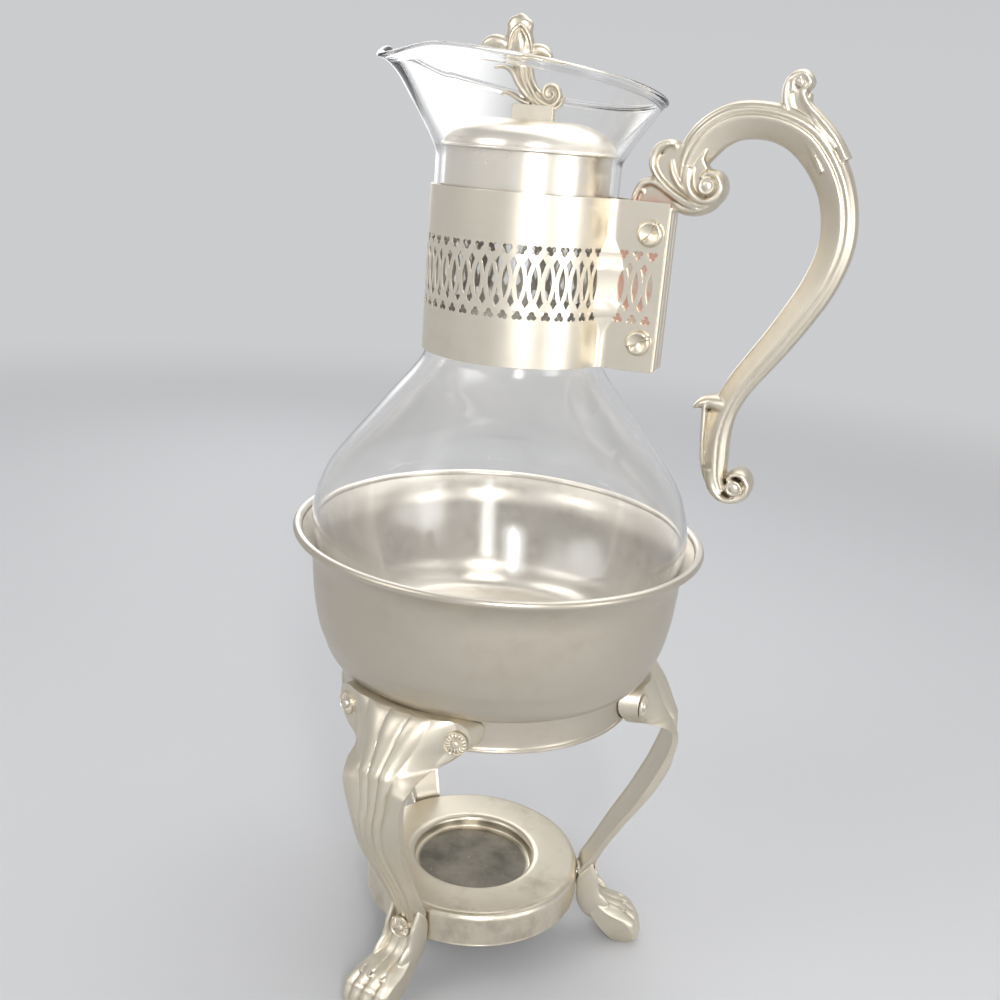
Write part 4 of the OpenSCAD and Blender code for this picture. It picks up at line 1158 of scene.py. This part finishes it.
rosetteLook = {
    "radius": 4.5,
    "petals": 16,
    "petalDepth": 0.55,
    # the head's face: share of its radius and height
    "face": [(0, 1.8), (0.1, 1.79), (0.2, 1.74), (0.3, 1.6), (0.34, 1.4), (0.37, 1.0), (0.40, 0.72),
             (0.46, 0.95), (0.56, 1.05), (0.68, 1.05), (0.80, 0.95), (0.86, 0.7), (0.89, 0.72), (0.93, 1.05),
             (0.97, 1.0), (1.0, 0.5)],
    "shank": 1.8,
    # turns are degrees from the leg's own
    "wing": {"turns": (-21.7, 21.7), "height": 123.0, "seat": 65.6, "shank": 11.6},
    "ankle": {"turns": (0,), "height": 29.4, "seat": 52.7, "shank": 11.9},
}


def rosette(look, shank):  # a bolt with its seat at x = 0, which looks along x
    rings = []
    for stop, height in look["face"]:
        ring = []
        for k in range(128):
            angle = 2 * pi * k / 128
            petal = abs(cos(angle * look["petals"] / 2)) ** 0.6
            deep = look["petalDepth"] * (1 - petal) * ramp(stop, 0.40, 0.5) * (1 - ramp(stop, 0.84, 0.89))
            r = stop * look["radius"]
            ring.append((height - deep, r * cos(angle), r * sin(angle)))
        rings.append(ring)
    rings.append([(0.0, y, z) for x, y, z in rings[-1]])
    around = arc(0, 0, look["shank"], look["shank"], 0, 345, 23)
    return joined([stitch(rings), stitch([[(x, y, z) for y, z in around] for x in (0.3, -shank)])])


def makeRosettes(kind, look):
    points, faces = rosette(rosetteLook, look["shank"])
    shapes = []
    for angle in [angle + turn for angle in legLook["angles"].values() for turn in look["turns"]]:
        c, s = heading(angle)
        shapes.append(([((x + look["seat"]) * c - y * s, (x + look["seat"]) * s + y * c, z + look["height"])
                        for x, y, z in points], faces))
    makePiece(kind + "Rosettes", joined(shapes), "warmer_stand", "leg_plate", [kind + "_rosettes"], sharp=50)


for kind in ("wing", "ankle"):
    makeRosettes(kind, rosetteLook[kind])
print("stage: rosettes")

finialLook = {"top": 336.4, "turn": 12, "voxel": 0.26, "rootHalf": 3.2, "blockHalf": 4.2, "blockEdge": 0.35,
              "block": [(-7.2, -0.4), (7.6, -0.4), (7.6, 4.6), (-7.2, 4.6)]}
# [along the finial's plane from the axis, height over the dome, thickness, half width]
finialStem = [(4.2, 4.4, 4.4, 3.3), (1.4, 6.2, 5.2, 3.3), (-1.2, 9.2, 5.8, 3.2), (-3.2, 13.2, 6.2, 3.1),
    (-4.4, 17.6, 6.8, 3.1), (-5.2, 21, 8, 3.1), (-5.8, 23.6, 8, 3)]
finialCurl = [(-3.5, 18.6, 1.2, 3.8), (-2.9, 14.4, 1.3, 4), (-1.1, 10.4, 1.5, 4.1), (1.8, 6.7, 1.7, 4.2)]
finialLines = {
    "shield": [(-6.4, 19, 6.5, 3), (-6.5, 22, 9.6, 3.3), (-6.6, 24.4, 10.6, 3.4), (-6.7, 26.4, 9.8, 3.3),
        (-6.7, 28.4, 9, 3.1), (-6.7, 30.4, 9.3, 2.8), (-6.8, 31.9, 7.6, 2.4), (-6.8, 33.1, 4.4, 1.7),
        (-6.9, 34, 0.9, 0.9)],
    "archLeft": [(-9.9, 21.4, 1.3, 3.4), (-9.8, 23.8, 1.4, 4.1), (-9.4, 26.4, 1.4, 4.3),
        (-8.2, 28.6, 1.4, 4.2), (-6.5, 30.1, 1.4, 3.8)],
    "archRight": [(-1.8, 21.4, 1.3, 3.4), (-2, 23.8, 1.4, 4.1), (-2.9, 26.4, 1.4, 4.3),
        (-4.5, 28.7, 1.4, 4.2), (-6.5, 30.1, 1.4, 3.8)],
    "egg": [(-5.9, 20.2, 3.4, 3.3), (-6, 22.4, 4.8, 4), (-6.1, 25, 4.8, 4.3), (-6.3, 27.2, 3.2, 4),
        (-6.4, 28.6, 0.9, 3.3)],
    "leftLobe": [(-9.4, 21.6, 3.6, 2.8), (-12, 23.6, 4.8, 3), (-15, 24.3, 4.9, 3),
        (-17.8, 23.4, 3.8, 2.7), (-19.4, 21.8, 1.8, 2.1)],
    "leftFold": [(-7, 20, 1.8, 3.3), (-10.4, 21.2, 1.5, 3.4), (-13.6, 22, 1.3, 3.4),
        (-16.8, 21.8, 0.9, 2.8)],
    "rightLobe": [(-2.8, 20.8, 3.6, 2.8), (-0.4, 22.3, 4.4, 3), (2.2, 22.2, 4.2, 2.9),
        (4.3, 20.8, 2.6, 2.4), (4.6, 19.4, 1, 1.9)],
    "upperLeaf": [(0.4, 5.6, 2.2, 3.6), (-3, 8.2, 2.4, 3.7), (-5.8, 11.4, 2.5, 3.6),
        (-7.6, 14.4, 2.4, 3.2), (-9.6, 16.3, 2.3, 2.6), (-12.2, 16.8, 1.8, 2), (-14.8, 16, 0.6, 1.2)],
    "lowerLeaf": [(-1.2, 4.8, 1.6, 3.5), (-4.6, 6, 1.9, 3.5), (-7.4, 7.5, 2.1, 3), (-9.8, 8.3, 1.8, 2.3),
        (-11.8, 7.3, 0.6, 1.3)],
    "middleRib": [(-5.4, 18.6, 1.2, 3.8), (-4.8, 14.6, 1.2, 4), (-3, 10.6, 1.2, 4.1),
        (-0.6, 7.2, 1.2, 4.2), (2.6, 4.6, 1.2, 4.2), (6.2, 3.7, 1.2, 4.2), (9.4, 5, 1.1, 4.1),
        (10.9, 8.2, 0.9, 3.9)],
    "rightRib": [(-1.8, 19, 1.3, 3.7), (-1.3, 15, 1.3, 3.9), (-0.2, 12, 1.3, 4), (1.6, 9.6, 1.2, 4.1),
        (3, 8.6, 0.9, 4.1)],
}
finialScroll = {"x": 5.8, "z": 8.7, "outer": 3.9, "inner": 0.9, "turns": 1.5, "thick": 1.9, "half": 4.3}
finialRoot = [(0, 3), (4, 3.4), (8.6, 4), (10, 7.5), (8.8, 11), (6, 12), (3, 10), (-1, 8)]


def scrollLine(look, points=14):  # runs from below its eye, to the right and up
    line = []
    for share in np.linspace(0, 1, points):
        c, s = heading(360 * look["turns"] * share - 90)
        radius = look["outer"] + (look["inner"] - look["outer"]) * share
        line.append((look["x"] + radius * c, look["z"] + radius * s,
                     look["thick"] * (1 - 0.45 * share), look["half"]))
    return line


def makeFinial(look):
    curl = strand(finialCurl + scrollLine(finialScroll), roundSection, 8)
    shapes = [strand(finialStem, roundSection), curl]
    shapes += [strand(line, roundSection) for line in finialLines.values()]
    skin = cast("lidFinial", shapes + [slab(finialRoot, look["rootHalf"])], look["voxel"])
    scroll = addPiece("lidFinial", skin, "lid", "cast_plate", ["lid_finial"])
    shape = slab(look["block"], look["blockHalf"])
    block = makePiece("finialBlock", shape, "lid", "cast_plate", ["lid_finial"])
    soften(block, look["blockEdge"])
    turn = Matrix.Rotation(radians(look["turn"]), 4, "Z")
    for piece in (scroll, block):
        piece.data.transform(Matrix.Translation((0, 0, look["top"] * mm)) @ turn)


makeFinial(finialLook)
print("stage: finial")
